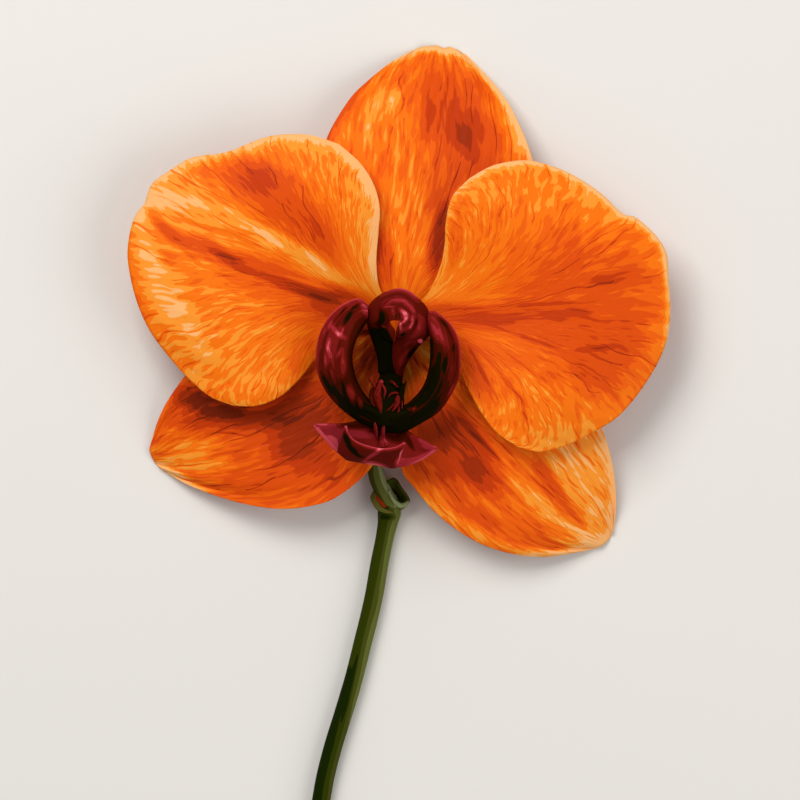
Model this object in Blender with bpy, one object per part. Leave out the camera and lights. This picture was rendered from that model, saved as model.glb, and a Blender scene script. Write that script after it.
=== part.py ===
"""Single moth-orchid flower with its pedicel and a length of flower stem, lying on its back.

The flower faces +Z, its upper sepal points along +Y and the stem runs down along -Y. The surface
that it lies on is Z = 0: the tips of the three sepals and the stem touch it. Points are written in
millimetres from the flower's centre and scaled to metres where a mesh is made.
"""
import bpy
import bmesh
from math import pi, sin
from mathutils import Matrix, Vector

MM = 0.001

# Driving dimensions, in millimetres.
SEPAL_THICKNESS = 0.8
PETAL_THICKNESS = 0.7
LIP_THICKNESS = 1.0
MID_LOBE_THICKNESS = 0.9
BRACT_THICKNESS = 0.45
CLAW_HEIGHT_SEPAL = 8.3
CLAW_HEIGHT_PETAL = 9.6
RECEPTACLE_TOP = 7.6
RECEPTACLE_RADIUS = 3.4
COLUMN_BASE_RADIUS = 2.3
SEAT_GAP = 0.3
STEM_RADIUS = 1.65
NODE_RADIUS = 2.1
PEDICEL_RADIUS = 1.25
TEPAL_STEPS_ALONG = 9
TEPAL_STEPS_ACROSS = 18


# ---- Scene and shared modelling steps ----

def clear_scene():
    """Remove every object of the opened file."""
    for item in list(bpy.data.objects):
        bpy.data.objects.remove(item, do_unlink=True)


def flesh(name, colour, roughness):
    """A plant surface in one colour."""
    material = bpy.data.materials.new(name)
    material.use_nodes = True
    shader = material.node_tree.nodes["Principled BSDF"]
    shader.inputs["Base Color"].default_value = (*colour, 1.0)
    shader.inputs["Roughness"].default_value = roughness
    shader.inputs["Metallic"].default_value = 0.0
    return material


def smooth_route(points, count):
    """Return count evenly spaced points on the smooth curve through the given points."""
    knots = [Vector(point) for point in points]
    knots = [2 * knots[0] - knots[1]] + knots + [2 * knots[-1] - knots[-2]]
    steps = 12
    fine = []
    for before, start, end, after in zip(knots, knots[1:], knots[2:], knots[3:]):
        for step in range(steps):
            u = step / steps
            fine.append(0.5 * (2 * start + (end - before) * u
                               + (2 * before - 5 * start + 4 * end - after) * u ** 2
                               + (3 * start - before - 3 * end + after) * u ** 3))
    fine.append(knots[-2])
    lengths = [0.0]
    for first, second in zip(fine, fine[1:]):
        lengths.append(lengths[-1] + (second - first).length)
    route = []
    piece = 0
    for index in range(count):
        wanted = lengths[-1] * index / (count - 1)
        while piece < len(fine) - 2 and lengths[piece + 1] < wanted:
            piece += 1
        share = (wanted - lengths[piece]) / (lengths[piece + 1] - lengths[piece])
        route.append(fine[piece].lerp(fine[piece + 1], share))
    return route


def smooth_value(values, share):
    """Read a smooth profile, given as evenly spaced values, at a share from 0 to 1."""
    place = share * (len(values) - 1)
    index = min(int(place), len(values) - 2)
    u = place - index
    start, end = values[index], values[index + 1]
    before = values[index - 1] if index > 0 else 2 * start - end
    after = values[index + 2] if index + 2 < len(values) else 2 * end - start
    return 0.5 * (2 * start + (end - before) * u + (2 * before - 5 * start + 4 * end - after) * u ** 2
                  + (3 * start - before - 3 * end + after) * u ** 3)


def add_object(name, mesh_form, material):
    """Turn a bmesh into a smooth-shaded object of the scene."""
    mesh = bpy.data.meshes.new(name)
    mesh_form.to_mesh(mesh)
    mesh_form.free()
    mesh.materials.append(material)
    mesh.shade_smooth()
    item = bpy.data.objects.new(name, mesh)
    bpy.context.scene.collection.objects.link(item)
    return item


def add_sheet(name, rows, thickness, material, levels=0):
    """Make a leaf-like sheet whose middle surface passes through rows of points."""
    along = len(rows)
    across = len(rows[0])
    form = bmesh.new()
    bmesh.ops.create_grid(form, x_segments=across - 1, y_segments=along - 1, size=1.0)
    for vertex in form.verts:
        column = round((vertex.co.x + 1.0) / 2.0 * (across - 1))
        row = round((vertex.co.y + 1.0) / 2.0 * (along - 1))
        vertex.co = rows[row][column] * MM
    item = add_object(name, form, material)
    if levels:
        smoothing = item.modifiers.new("smoothing", "SUBSURF")
        smoothing.levels = levels
        smoothing.render_levels = levels
    wall = item.modifiers.new("thickness", "SOLIDIFY")
    wall.thickness = thickness * MM
    wall.offset = 0.0
    return item


def add_stalk(name, stations, sides, material):
    """Make a round or oval stalk: each station is a centre, a width and a depth."""
    form = bmesh.new()
    centres = [Vector(centre) for centre, width, depth in stations]
    loops = []
    for index, (centre, width, depth) in enumerate(stations):
        ahead = centres[min(index + 1, len(centres) - 1)]
        behind = centres[max(index - 1, 0)]
        turn = Vector((0, 0, 1)).rotation_difference(ahead - behind).to_matrix().to_4x4()
        place = Matrix.Translation(Vector(centre) * MM) @ turn @ Matrix.Diagonal((width, depth, 1, 1))
        is_end = index in (0, len(stations) - 1)
        ring = bmesh.ops.create_circle(form, cap_ends=is_end, segments=sides, radius=MM, matrix=place)
        loops.append(list({edge for vertex in ring["verts"] for edge in vertex.link_edges}))
    for lower, upper in zip(loops, loops[1:]):
        bmesh.ops.bridge_loops(form, edges=lower + upper)
    bmesh.ops.recalc_face_normals(form, faces=form.faces)
    return add_object(name, form, material)


def grow_together(item, others):
    """Join closed forms to an object as one grown piece."""
    for other in others:
        other.hide_render = True
        other.display_type = "WIRE"
        union = item.modifiers.new("grown_with_" + other.name, "BOOLEAN")
        union.operation = "UNION"
        union.object = other


# ---- Sepals and petals ----

def tepal_rows(edge_a, margin_a, margin_b, edge_b, heights, pillow, curl):
    """Fill a tepal's outline from its claw to its margin.

    edge_a and edge_b run from the claw to the margin. margin_a runs from the end of edge_a to the
    end of the middle vein, and margin_b from there to the end of edge_b. heights is the middle
    vein's height along its length, pillow the swell either side of it, and curl the edges' lift.
    """
    half = TEPAL_STEPS_ACROSS // 2
    side_a = smooth_route(edge_a, TEPAL_STEPS_ALONG + 1)
    side_b = smooth_route(edge_b, TEPAL_STEPS_ALONG + 1)
    outer = smooth_route(margin_a, half + 1) + smooth_route(margin_b, half + 1)[1:]
    rows = []
    for step, (left, right) in enumerate(zip(side_a, side_b)):
        s = step / TEPAL_STEPS_ALONG
        row = []
        for column, rim in enumerate(outer):
            t = column / TEPAL_STEPS_ACROSS
            claw = side_a[0].lerp(side_b[0], t)
            chord = outer[0].lerp(outer[-1], t)
            flat = claw.lerp(rim, s) + left.lerp(right, t) - claw.lerp(chord, s)
            out = abs(2 * t - 1)
            height = smooth_value(heights, s) + pillow * sin(pi * out) * s * (1.4 - s)
            height += curl * out ** 2 * sin(pi * s)
            row.append(Vector((flat.x, flat.y, height)))
        rows.append(row)
    return rows


def build_sepals(orange):
    """Three sepals: claws on the receptacle, tips down on the surface."""
    dorsal = tepal_rows(
        edge_a=[(-1.7, 2.8), (-8.0, 9.5), (-12.8, 17.5), (-14.3, 26.0), (-12.9, 33.4), (-8.9, 40.4),
                (-5.4, 44.0), (-1.3, 47.3), (1.8, 49.1)],
        margin_a=[(1.8, 49.1), (4.2, 50.0), (7.0, 50.3)],
        margin_b=[(7.0, 50.3), (10.0, 49.9), (12.5, 48.6)],
        edge_b=[(2.3, 2.5), (10.0, 8.0), (18.5, 14.5), (23.2, 21.0), (24.5, 27.0), (23.6, 31.8),
                (20.4, 39.1), (17.3, 43.5), (12.5, 48.6)],
        heights=[CLAW_HEIGHT_SEPAL, 9.2, 8.2, 5.0, 0.37], pillow=0.4, curl=0.5)
    add_sheet("dorsal_sepal", dorsal, SEPAL_THICKNESS, orange)
    left = tepal_rows(
        edge_a=[(-3.4, 0.3), (-12.0, 1.0), (-22.0, 0.5), (-30.0, -2.0), (-36.0, -6.5),
                (-40.6, -12.3), (-43.0, -16.7), (-44.4, -21.0)],
        margin_a=[(-44.4, -21.0), (-44.8, -22.5), (-44.4, -23.8)],
        margin_b=[(-44.4, -23.8), (-43.5, -25.2), (-41.9, -26.4)],
        edge_b=[(-1.1, -3.2), (-1.5, -9.0), (-1.9, -14.0), (-2.6, -20.5), (-5.1, -26.0),
                (-10.9, -30.9), (-15.8, -32.6), (-21.3, -33.1), (-26.8, -32.4), (-32.3, -30.9),
                (-37.8, -28.8), (-41.9, -26.4)],
        heights=[CLAW_HEIGHT_SEPAL, 9.0, 8.4, 5.4, 0.37], pillow=0.4, curl=0.5)
    add_sheet("lateral_sepal_left", left, SEPAL_THICKNESS, orange)
    right = tepal_rows(
        edge_a=[(0.55, -3.4), (-0.2, -9.0), (-0.4, -14.0), (-0.4, -20.5), (0.8, -26.4),
                (2.8, -29.1), (6.3, -33.3), (10.4, -36.7), (15.2, -39.5), (20.8, -41.2),
                (26.3, -41.7), (31.8, -41.0), (34.6, -40.4)],
        margin_a=[(34.6, -40.4), (36.2, -40.0), (37.5, -39.2)],
        margin_b=[(37.5, -39.2), (38.5, -37.8), (39.0, -35.8)],
        edge_b=[(3.4, -0.3), (11.0, -1.8), (20.0, -4.2), (28.5, -8.3), (34.2, -13.5),
                (36.8, -18.8), (38.6, -25.0), (39.3, -31.0), (39.0, -35.8)],
        heights=[CLAW_HEIGHT_SEPAL, 9.0, 8.4, 5.4, 0.37], pillow=0.4, curl=0.5)
    add_sheet("lateral_sepal_right", right, SEPAL_THICKNESS, orange)


def build_petals(orange):
    """Two broad petals that fan out above the sepals, with a groove along the middle vein."""
    left = tepal_rows(
        edge_a=[(-3.35, -0.75), (-8.5, -1.2), (-13.0, -3.7), (-15.1, -6.4), (-17.8, -9.8),
                (-21.3, -12.9), (-25.4, -14.5), (-29.5, -14.5)],
        margin_a=[(-29.5, -14.5), (-33.7, -12.9), (-37.5, -9.8), (-41.2, -5.7), (-44.7, -0.9),
                  (-47.1, 4.6), (-48.5, 10.8), (-48.5, 15.0), (-47.4, 19.4), (-45.6, 21.8)],
        margin_b=[(-45.6, 21.8), (-44.3, 25.3), (-41.2, 27.7), (-37.1, 30.1), (-30.9, 31.1),
                  (-24.0, 33.7), (-19.2, 34.3), (-15.1, 34.0), (-10.6, 32.5)],
        edge_b=[(-1.55, 3.05), (-3.4, 7.0), (-3.9, 11.5), (-3.5, 17.0), (-3.3, 21.2),
                (-4.4, 25.3), (-6.8, 29.1), (-10.6, 32.5)],
        heights=[CLAW_HEIGHT_PETAL, 10.7, 12.4, 12.6, 9.8], pillow=1.3, curl=0.3)
    add_sheet("petal_left", left, PETAL_THICKNESS, orange)
    right = tepal_rows(
        edge_a=[(2.3, 2.55), (5.5, 6.0), (7.6, 10.5), (8.4, 14.5), (8.6, 18.4), (9.7, 22.9),
                (12.8, 26.3)],
        margin_a=[(12.8, 26.3), (17.3, 28.7), (22.8, 29.6), (27.3, 28.7), (31.8, 26.8),
                  (36.6, 23.6), (40.4, 20.0), (42.8, 19.3), (46.2, 16.3), (48.3, 12.9),
                  (48.7, 8.1), (49.0, 4.5)],
        margin_b=[(49.0, 4.5), (49.0, 1.5), (48.3, -3.0), (46.2, -7.8), (42.8, -12.9),
                  (39.3, -16.7), (35.2, -19.2), (30.4, -21.6), (25.6, -22.8), (21.4, -21.9)],
        edge_b=[(3.0, -1.6), (7.5, -3.5), (10.3, -7.0), (12.3, -11.0), (14.8, -15.5),
                (17.6, -19.2), (21.4, -21.9)],
        heights=[CLAW_HEIGHT_PETAL, 10.7, 12.4, 12.6, 9.8], pillow=1.0, curl=0.3)
    add_sheet("petal_right", right, PETAL_THICKNESS, orange)


# ---- Lip ----

def skin(rails, along, across):
    """Lay a smooth surface over rails that run side by side; each row crosses all of them."""
    routes = [smooth_route(rail, along) for rail in rails]
    return [smooth_route([route[step] for route in routes], across) for step in range(along)]


def build_lip(crimson):
    """The lip: cupped side lobes, claw, toothed callus and boat-shaped mid-lobe, one grown piece."""
    rear = [(-6.4, 2.4, 15.6), (-10.1, 1.2, 13.8), (-12.4, -2.0, 13.2), (-13.3, -6.5, 13.2),
            (-12.0, -11.0, 13.2), (-8.6, -15.0, 13.2), (-2.2, -17.6, 13.2), (3.4, -16.2, 13.2),
            (7.8, -12.6, 13.2), (9.8, -7.8, 13.2), (9.4, -3.2, 13.2), (7.9, 0.1, 13.8),
            (6.1, 1.4, 15.6)]
    shoulder = [(-5.9, 3.2, 17.2), (-7.4, 4.3, 17.0), (-10.9, 2.2, 16.6), (-13.4, -1.2, 16.8),
                (-14.4, -5.6, 17.0), (-14.0, -9.2, 17.0), (-12.1, -12.7, 16.8), (-9.2, -15.7, 16.4),
                (-5.6, -17.8, 16.2), (-2.0, -18.8, 16.0), (1.6, -18.6, 16.2), (6.2, -15.8, 16.4),
                (9.1, -12.7, 16.8), (10.7, -9.0, 17.0), (10.9, -5.2, 17.0), (10.0, -1.6, 16.8),
                (8.6, 1.0, 16.6), (6.7, 2.3, 17.0), (5.8, 1.8, 17.2)]
    crest = [(-5.8, 2.7, 18.2), (-6.6, 1.2, 20.2), (-7.9, -1.6, 21.8), (-9.3, -5.4, 22.3),
             (-9.2, -9.0, 22.0), (-8.2, -11.8, 21.0), (-6.6, -14.0, 19.6), (-4.2, -15.6, 18.6),
             (-1.6, -16.3, 18.2), (1.4, -15.9, 18.6), (4.0, -14.2, 19.8), (5.9, -12.0, 21.0),
             (7.1, -9.0, 22.0), (7.4, -5.4, 22.3), (7.0, -2.0, 21.8), (6.2, 0.4, 20.2),
             (5.7, 1.4, 18.2)]
    inner = [(-6.0, 2.2, 18.0), (-6.4, 0.2, 18.8), (-7.5, -2.4, 19.4), (-8.3, -5.2, 19.6),
             (-8.1, -8.4, 19.4), (-7.2, -11.0, 18.6), (-5.7, -13.2, 17.4), (-3.8, -14.5, 16.6),
             (-1.7, -15.0, 16.4), (0.6, -14.9, 16.6), (2.6, -13.6, 17.4), (4.5, -11.4, 18.6),
             (5.6, -8.6, 19.4), (5.9, -5.4, 19.6), (5.9, -2.0, 19.2), (5.8, 0.0, 18.6),
             (5.8, 1.1, 18.0)]
    lip = add_sheet("lip", skin([rear, shoulder, crest, inner], 30, 7), LIP_THICKNESS, crimson)
    claw = add_stalk("lip_claw_form", [((-1.4, -10.75, 10.85), 1.9, 1.4), ((-1.5, -11.6, 10.9), 2.0, 1.5),
                                       ((-1.6, -12.8, 11.3), 2.4, 1.7),
                                       ((-2.0, -15.4, 12.6), 3.2, 2.2), ((-2.5, -17.8, 14.6), 3.2, 2.2),
                                       ((-2.8, -19.4, 15.6), 2.6, 1.5)], 12, crimson)
    callus = add_stalk("lip_callus_form", [((-2.0, -15.6, 13.0), 3.0, 1.8), ((-2.1, -14.2, 15.4), 2.7, 1.7),
                                           ((-2.2, -12.8, 17.0), 2.2, 1.3), ((-2.3, -11.8, 17.8), 1.5, 0.8)],
                       12, crimson)
    top = [(-15.0, -17.7, 19.0), (-12.4, -17.3, 17.8), (-9.3, -17.2, 16.8), (-6.0, -17.0, 16.0),
           (-2.8, -17.3, 15.8), (0.6, -18.4, 16.0), (3.4, -20.0, 17.0), (6.8, -22.1, 19.0)]
    floor = [(-15.0, -17.9, 19.0), (-12.8, -18.6, 17.4), (-9.8, -19.6, 15.6), (-6.0, -20.4, 14.6),
             (-2.6, -20.8, 14.4), (0.6, -21.4, 15.0), (3.4, -22.0, 16.6), (6.8, -22.3, 19.0)]
    keel = [(-14.9, -18.1, 19.0), (-13.2, -20.0, 17.6), (-10.2, -23.2, 16.0), (-6.2, -24.6, 15.4),
            (-2.0, -25.4, 15.2), (0.8, -25.2, 15.8), (3.4, -23.9, 17.2), (6.7, -22.5, 19.0)]
    wall = [(-14.9, -18.2, 19.2), (-13.0, -20.2, 18.4), (-9.9, -22.3, 18.4), (-6.4, -24.0, 18.4),
            (-2.2, -24.8, 18.4), (0.9, -24.2, 18.4), (3.3, -23.9, 18.4), (6.7, -22.6, 19.2)]
    rim = [(-14.8, -18.2, 19.4), (-12.7, -20.2, 19.2), (-9.4, -18.9, 20.8), (-6.0, -21.6, 21.0),
           (-2.6, -22.2, 21.2), (1.1, -21.4, 20.8), (3.0, -23.6, 19.2), (6.6, -22.6, 19.4)]
    mid_lobe = add_sheet("lip_mid_lobe_form", skin([top, floor, keel, wall, rim], 22, 9),
                         MID_LOBE_THICKNESS, crimson)
    grow_together(lip, [claw, callus, mid_lobe])


# ---- Column, anther cap and pollinarium ----

def build_column(maroon, crimson, amber):
    """The column: a hood over the anther cap, narrowing down to the foot that carries the lip."""
    base = RECEPTACLE_TOP + SEAT_GAP
    column = add_stalk("column", [((0, 0, base), COLUMN_BASE_RADIUS, COLUMN_BASE_RADIUS),
                                  ((0, 0.1, 10.4), COLUMN_BASE_RADIUS, COLUMN_BASE_RADIUS),
                                  ((0, 0.5, 12.6), 3.4, 3.2), ((0.1, 0.8, 14.6), 4.6, 4.4),
                                  ((0.1, 1.1, 16.4), 5.0, 4.8), ((0.1, 1.1, 17.8), 4.7, 4.5),
                                  ((0.1, 1.1, 18.4), 4.1, 3.9)], 20, maroon)
    foot = add_stalk("column_foot_form", [((0.0, 0.5, 14.4), 4.2, 2.6), ((-0.4, -2.4, 13.9), 3.6, 2.3),
                                          ((-0.8, -5.0, 12.7), 2.7, 2.0), ((-1.1, -7.6, 11.6), 2.2, 1.7),
                                          ((-1.2, -9.2, 11.1), 2.0, 1.5), ((-1.3, -10.1, 10.95), 2.0, 1.5)],
                     14, maroon)
    grow_together(column, [foot])
    cap_back = 18.4 + SEAT_GAP
    add_stalk("anther_cap", [((0.1, 1.2, cap_back), 2.6, 2.6), ((0.1, 1.2, cap_back + 0.8), 3.5, 3.5),
                             ((0.0, 1.2, cap_back + 1.9), 3.6, 3.7), ((-0.1, 1.0, cap_back + 2.9), 2.9, 3.1),
                             ((-0.2, 0.7, cap_back + 3.5), 1.5, 1.8)], 16, crimson)
    pollinarium = [((-0.4, 0.3, 22.9), 0.35), ((-0.4, -0.7, 22.85), 0.8), ((-0.5, -1.9, 22.35), 0.6),
                   ((-0.6, -3.1, 21.2), 0.25)]
    add_stalk("pollinarium", [(place, width, 0.25) for place, width in pollinarium], 8, amber)


# ---- Pedicel, bracts and stem ----

def build_stalks(green, olive):
    """The pedicel behind the sepals, the two bracts at the node, and the stem along the surface."""
    pedicel = [((-1.5, -32.4, 2.1), 1.3), ((-1.7, -31.4, 2.15), 1.25), ((-2.5, -29.4, 2.4), PEDICEL_RADIUS),
               ((-3.4, -27.2, 2.8), PEDICEL_RADIUS),
               ((-4.3, -24.0, 3.2), PEDICEL_RADIUS), ((-4.7, -20.0, 3.5), PEDICEL_RADIUS),
               ((-4.4, -16.0, 3.8), PEDICEL_RADIUS), ((-3.4, -11.5, 4.1), 1.35), ((-2.0, -7.0, 4.5), 1.5),
               ((-0.9, -3.6, 5.1), 1.7), ((-0.2, -1.2, 6.2), 2.4)]
    pedicel_stations = [(centre, radius, radius) for centre, radius in pedicel]
    for height, radius in ((RECEPTACLE_TOP - 0.6, RECEPTACLE_RADIUS - 0.2), (RECEPTACLE_TOP, RECEPTACLE_RADIUS)):
        pedicel_stations.append(((0, -0.2, height), radius, radius))
    add_stalk("pedicel", pedicel_stations, 12, green)
    stem = [((-15.5, -95.0), STEM_RADIUS), ((-14.0, -86.5), STEM_RADIUS), ((-13.1, -81.5), STEM_RADIUS),
            ((-11.7, -76.0), STEM_RADIUS), ((-9.9, -70.2), STEM_RADIUS), ((-7.9, -63.5), STEM_RADIUS),
            ((-6.3, -57.1), STEM_RADIUS), ((-5.3, -53.1), STEM_RADIUS), ((-4.3, -48.6), STEM_RADIUS),
            ((-3.4, -43.4), STEM_RADIUS), ((-2.5, -39.0), STEM_RADIUS)]
    stem_stations = [((x, y, radius), radius, radius) for (x, y), radius in stem]
    for x, y, radius in ((-1.9, -35.8, 1.85), (-1.6, -34.2, NODE_RADIUS), (-1.5, -33.4, NODE_RADIUS),
                         (-1.5, -32.8, 1.8)):
        stem_stations.append(((x, y, NODE_RADIUS), radius, radius))
    add_stalk("stem", stem_stations, 14, green)
    sheath_back = [(-1.1, -28.6, 1.2), (-0.2, -30.2, 1.0), (0.9, -31.4, 1.1), (1.3, -32.3, 1.4)]
    sheath_side = [(0.1, -28.4, 2.0), (1.1, -29.9, 2.0), (2.0, -31.3, 2.2), (1.7, -32.4, 2.4)]
    sheath_rim = [(0.4, -28.6, 3.0), (1.3, -30.0, 3.6), (2.0, -31.3, 4.0), (1.5, -32.3, 4.0)]
    add_sheet("bract_right", skin([sheath_back, sheath_side, sheath_rim], 6, 6), BRACT_THICKNESS, green)
    scale_back = [(-4.5, -29.6, 1.4), (-4.3, -30.8, 1.2), (-4.0, -31.6, 1.2), (-3.6, -32.2, 1.3)]
    scale_rim = [(-4.2, -29.6, 2.9), (-4.1, -30.8, 3.6), (-3.7, -31.6, 4.0), (-3.2, -32.2, 4.2)]
    add_sheet("bract_left", skin([scale_back, scale_rim], 6, 4), BRACT_THICKNESS, olive)


def set_origin(low, high):
    """Move every mesh so that the origin is below the middle of the flower, on the surface."""
    for item in bpy.data.objects:
        item.data.transform(Matrix.Translation((-(low[0] + high[0]) / 2, -(low[1] + high[1]) / 2, -low[2])))


def measured_box():
    """The lowest and highest corner of all visible pieces, as their modifiers leave them."""
    graph = bpy.context.evaluated_depsgraph_get()
    corners = []
    for item in bpy.data.objects:
        if not item.hide_render:
            shape = item.evaluated_get(graph).to_mesh()
            corners += [vertex.co.copy() for vertex in shape.vertices]
    low = [min(corner[axis] for corner in corners) for axis in range(3)]
    high = [max(corner[axis] for corner in corners) for axis in range(3)]
    return low, high


clear_scene()
PETAL_ORANGE = flesh("petal_orange", (0.93, 0.20, 0.02), 0.5)
LIP_CRIMSON = flesh("lip_crimson", (0.17, 0.006, 0.008), 0.35)
COLUMN_MAROON = flesh("column_maroon", (0.08, 0.003, 0.003), 0.35)
POLLEN_AMBER = flesh("pollen_amber", (0.80, 0.15, 0.02), 0.4)
STEM_GREEN = flesh("stem_green", (0.04, 0.06, 0.01), 0.5)
BRACT_OLIVE = flesh("bract_olive", (0.14, 0.10, 0.02), 0.6)
build_sepals(PETAL_ORANGE)
build_petals(PETAL_ORANGE)
build_lip(LIP_CRIMSON)
build_column(COLUMN_MAROON, LIP_CRIMSON, POLLEN_AMBER)
build_stalks(STEM_GREEN, BRACT_OLIVE)
set_origin(*measured_box())
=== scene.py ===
"""Orchid flower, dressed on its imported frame: petals, lip, column and stem as they look up close."""
from itertools import accumulate
from math import cos, exp, pi, radians, sin

import bmesh
import bpy
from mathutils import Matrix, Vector
from mathutils.kdtree import KDTree


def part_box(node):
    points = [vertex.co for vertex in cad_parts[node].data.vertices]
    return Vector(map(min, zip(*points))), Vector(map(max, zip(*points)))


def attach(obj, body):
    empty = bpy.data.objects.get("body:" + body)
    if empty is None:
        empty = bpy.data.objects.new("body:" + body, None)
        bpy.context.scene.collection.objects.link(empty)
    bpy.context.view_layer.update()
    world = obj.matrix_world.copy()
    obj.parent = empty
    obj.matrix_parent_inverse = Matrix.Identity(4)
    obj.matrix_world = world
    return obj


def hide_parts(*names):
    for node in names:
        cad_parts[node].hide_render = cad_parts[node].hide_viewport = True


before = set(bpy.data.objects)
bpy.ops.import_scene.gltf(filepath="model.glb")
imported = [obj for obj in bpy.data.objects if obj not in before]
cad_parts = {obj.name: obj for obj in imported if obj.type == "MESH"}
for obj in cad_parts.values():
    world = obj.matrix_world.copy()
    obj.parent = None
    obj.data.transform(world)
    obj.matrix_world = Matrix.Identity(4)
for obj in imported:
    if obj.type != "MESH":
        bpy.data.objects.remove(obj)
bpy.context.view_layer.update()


# ---- Table, light and camera ----
# A pale matt table top with the flower lying on its back. One large soft light stands beyond the
# upper sepal, a weaker one fills from the right, and the camera looks straight down.

MM = 0.001
COLUMN_AXIS_X = 0.1
COLUMN_TOP_Y = 5.9
column_low, column_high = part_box("column")
flower_centre = Vector(((column_low.x + column_high.x) / 2 - COLUMN_AXIS_X * MM,
                        column_high.y - COLUMN_TOP_Y * MM, 0.0))


def world_point(x, y, z):
    """A place given in millimetres from the flower's centre, in metres in the frame."""
    return flower_centre + Vector((x, y, z)) * MM


def new_object(name, data):
    """Add an object to the scene, and return it."""
    item = bpy.data.objects.new(name, data)
    bpy.context.scene.collection.objects.link(item)
    return item


def new_material(name):
    """Start a material, and return it with its shader."""
    material = bpy.data.materials.new(name)
    material.use_nodes = True
    return material, material.node_tree.nodes["Principled BSDF"]


def set_inputs(node, inputs):
    """Give the inputs of a shader node their values, or link them to the sockets given."""
    for name, value in inputs.items():
        if isinstance(value, bpy.types.NodeSocket):
            node.id_data.links.new(value, node.inputs[name])
        else:
            node.inputs[name].default_value = value


def add_light(name, place, aim, size, power, colour):
    """A square soft light that shines from place to aim."""
    lamp = bpy.data.lights.new(name, "AREA")
    lamp.size = size
    lamp.energy = power
    lamp.color = colour
    item = new_object(name, lamp)
    item.location = world_point(*place)
    item.rotation_euler = (world_point(*aim) - item.location).to_track_quat("-Z", "Y").to_euler()


add_light("key_light", (-260, 420, 620), (0, 0, 0), 0.45, 4.5, (1.0, 0.98, 0.95))
add_light("fill_light", (520, -180, 480), (0, 0, 0), 0.6, 2.1, (1.0, 0.97, 0.94))

studio = bpy.data.worlds.new("studio")
studio.use_nodes = True
set_inputs(studio.node_tree.nodes["Background"], {"Color": (0.93, 0.93, 0.95, 1.0), "Strength": 0.34})
bpy.context.scene.world = studio
bpy.context.scene.view_settings.view_transform = "Standard"

CAMERA_AIM = (0.36, -13.5)
CAMERA_HEIGHT = 3000.0
FLOWER_HEIGHT = 9.0
VIEW_WIDTH = 144.0
eye = bpy.data.cameras.new("camera")
eye.sensor_width = 36.0
eye.lens = eye.sensor_width * (CAMERA_HEIGHT - FLOWER_HEIGHT) / VIEW_WIDTH
camera = new_object("camera", eye)
camera.location = world_point(*CAMERA_AIM, CAMERA_HEIGHT)
bpy.context.scene.camera = camera

TABLE_HALF_WIDTH = 3.0
table_form = bmesh.new()
bmesh.ops.create_grid(table_form, x_segments=1, y_segments=1, size=TABLE_HALF_WIDTH)
table_mesh = bpy.data.meshes.new("table_top")
table_form.to_mesh(table_mesh)
table_form.free()
table = new_object("table_top", table_mesh)
table_finish, table_shader = new_material("table_finish")
set_inputs(table_shader, {"Base Color": (0.8, 0.78, 0.74, 1.0), "Roughness": 0.8})
table_mesh.materials.append(table_finish)


# ---- Sepals and petals ----
# Five thin tepals of satin orange tissue. Three sepals lie behind and two broad petals in front;
# each grows from a narrow claw at the column, with veins that fan out from there to its margin.

SEPAL_CLAW, PETAL_CLAW = 8.3, 9.6
THINNEST_EDGE = 0.35
EDGE_TAPER = 1.6
RUFFLE_HEIGHT, RUFFLE_REACH = 0.35, 4.0
CREASE_HEIGHT = 0.05
PALE_MARGIN, PALE_REACH = 0.07, 4.5
FAN_CURVE = 1.6


def between(before, start, end, after, u):
    """The smooth curve from start to end at a share u, with the values before and after them."""
    return 0.5 * (2 * start + (end - before) * u + (2 * before - 5 * start + 4 * end - after) * u ** 2
                  + (3 * start - before - 3 * end + after) * u ** 3)


def smooth_route(points, count):
    """Return count evenly spaced points on the smooth curve through the given points."""
    knots = [Vector(point) for point in points]
    knots = [2 * knots[0] - knots[1]] + knots + [2 * knots[-1] - knots[-2]]
    steps = 24
    fine = []
    for before, start, end, after in zip(knots, knots[1:], knots[2:], knots[3:]):
        for step in range(steps):
            fine.append(between(before, start, end, after, step / steps))
    fine.append(knots[-2])
    gaps = [(second - first).length for first, second in zip(fine, fine[1:])]
    lengths = list(accumulate(gaps, initial=0.0))
    route = []
    piece = 0
    for index in range(count):
        wanted = lengths[-1] * index / (count - 1)
        while piece < len(fine) - 2 and lengths[piece + 1] < wanted:
            piece += 1
        share = (wanted - lengths[piece]) / (lengths[piece + 1] - lengths[piece])
        route.append(fine[piece].lerp(fine[piece + 1], share))
    return route


def smooth_value(values, share):
    """Read a smooth profile, given as evenly spaced values, at a share from 0 to 1."""
    place = share * (len(values) - 1)
    index = min(int(place), len(values) - 2)
    start, end = values[index], values[index + 1]
    before = values[index - 1] if index > 0 else 2 * start - end
    after = values[index + 2] if index + 2 < len(values) else 2 * end - start
    return between(before, start, end, after, place - index)


def sum_of_patches(x, y, patches):
    """Add up soft oval patches: centre, half length, half width, turn in degrees and strength."""
    total = 0.0
    for centre_x, centre_y, half_length, half_width, turn, strength in patches:
        ahead = (x - centre_x) * cos(radians(turn)) + (y - centre_y) * sin(radians(turn))
        aside = (y - centre_y) * cos(radians(turn)) - (x - centre_x) * sin(radians(turn))
        total += strength * exp(-((ahead / half_length) ** 2 + (aside / half_width) ** 2) ** 2)
    return total


def finish_piece(name, form, material):
    """Turn a finished form into a smooth object that rides on the flower's one body."""
    mesh = bpy.data.meshes.new(name)
    form.to_mesh(mesh)
    form.free()
    mesh.materials.append(material)
    mesh.shade_smooth()
    item = new_object(name, mesh)
    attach(item, "root")
    return item


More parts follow.
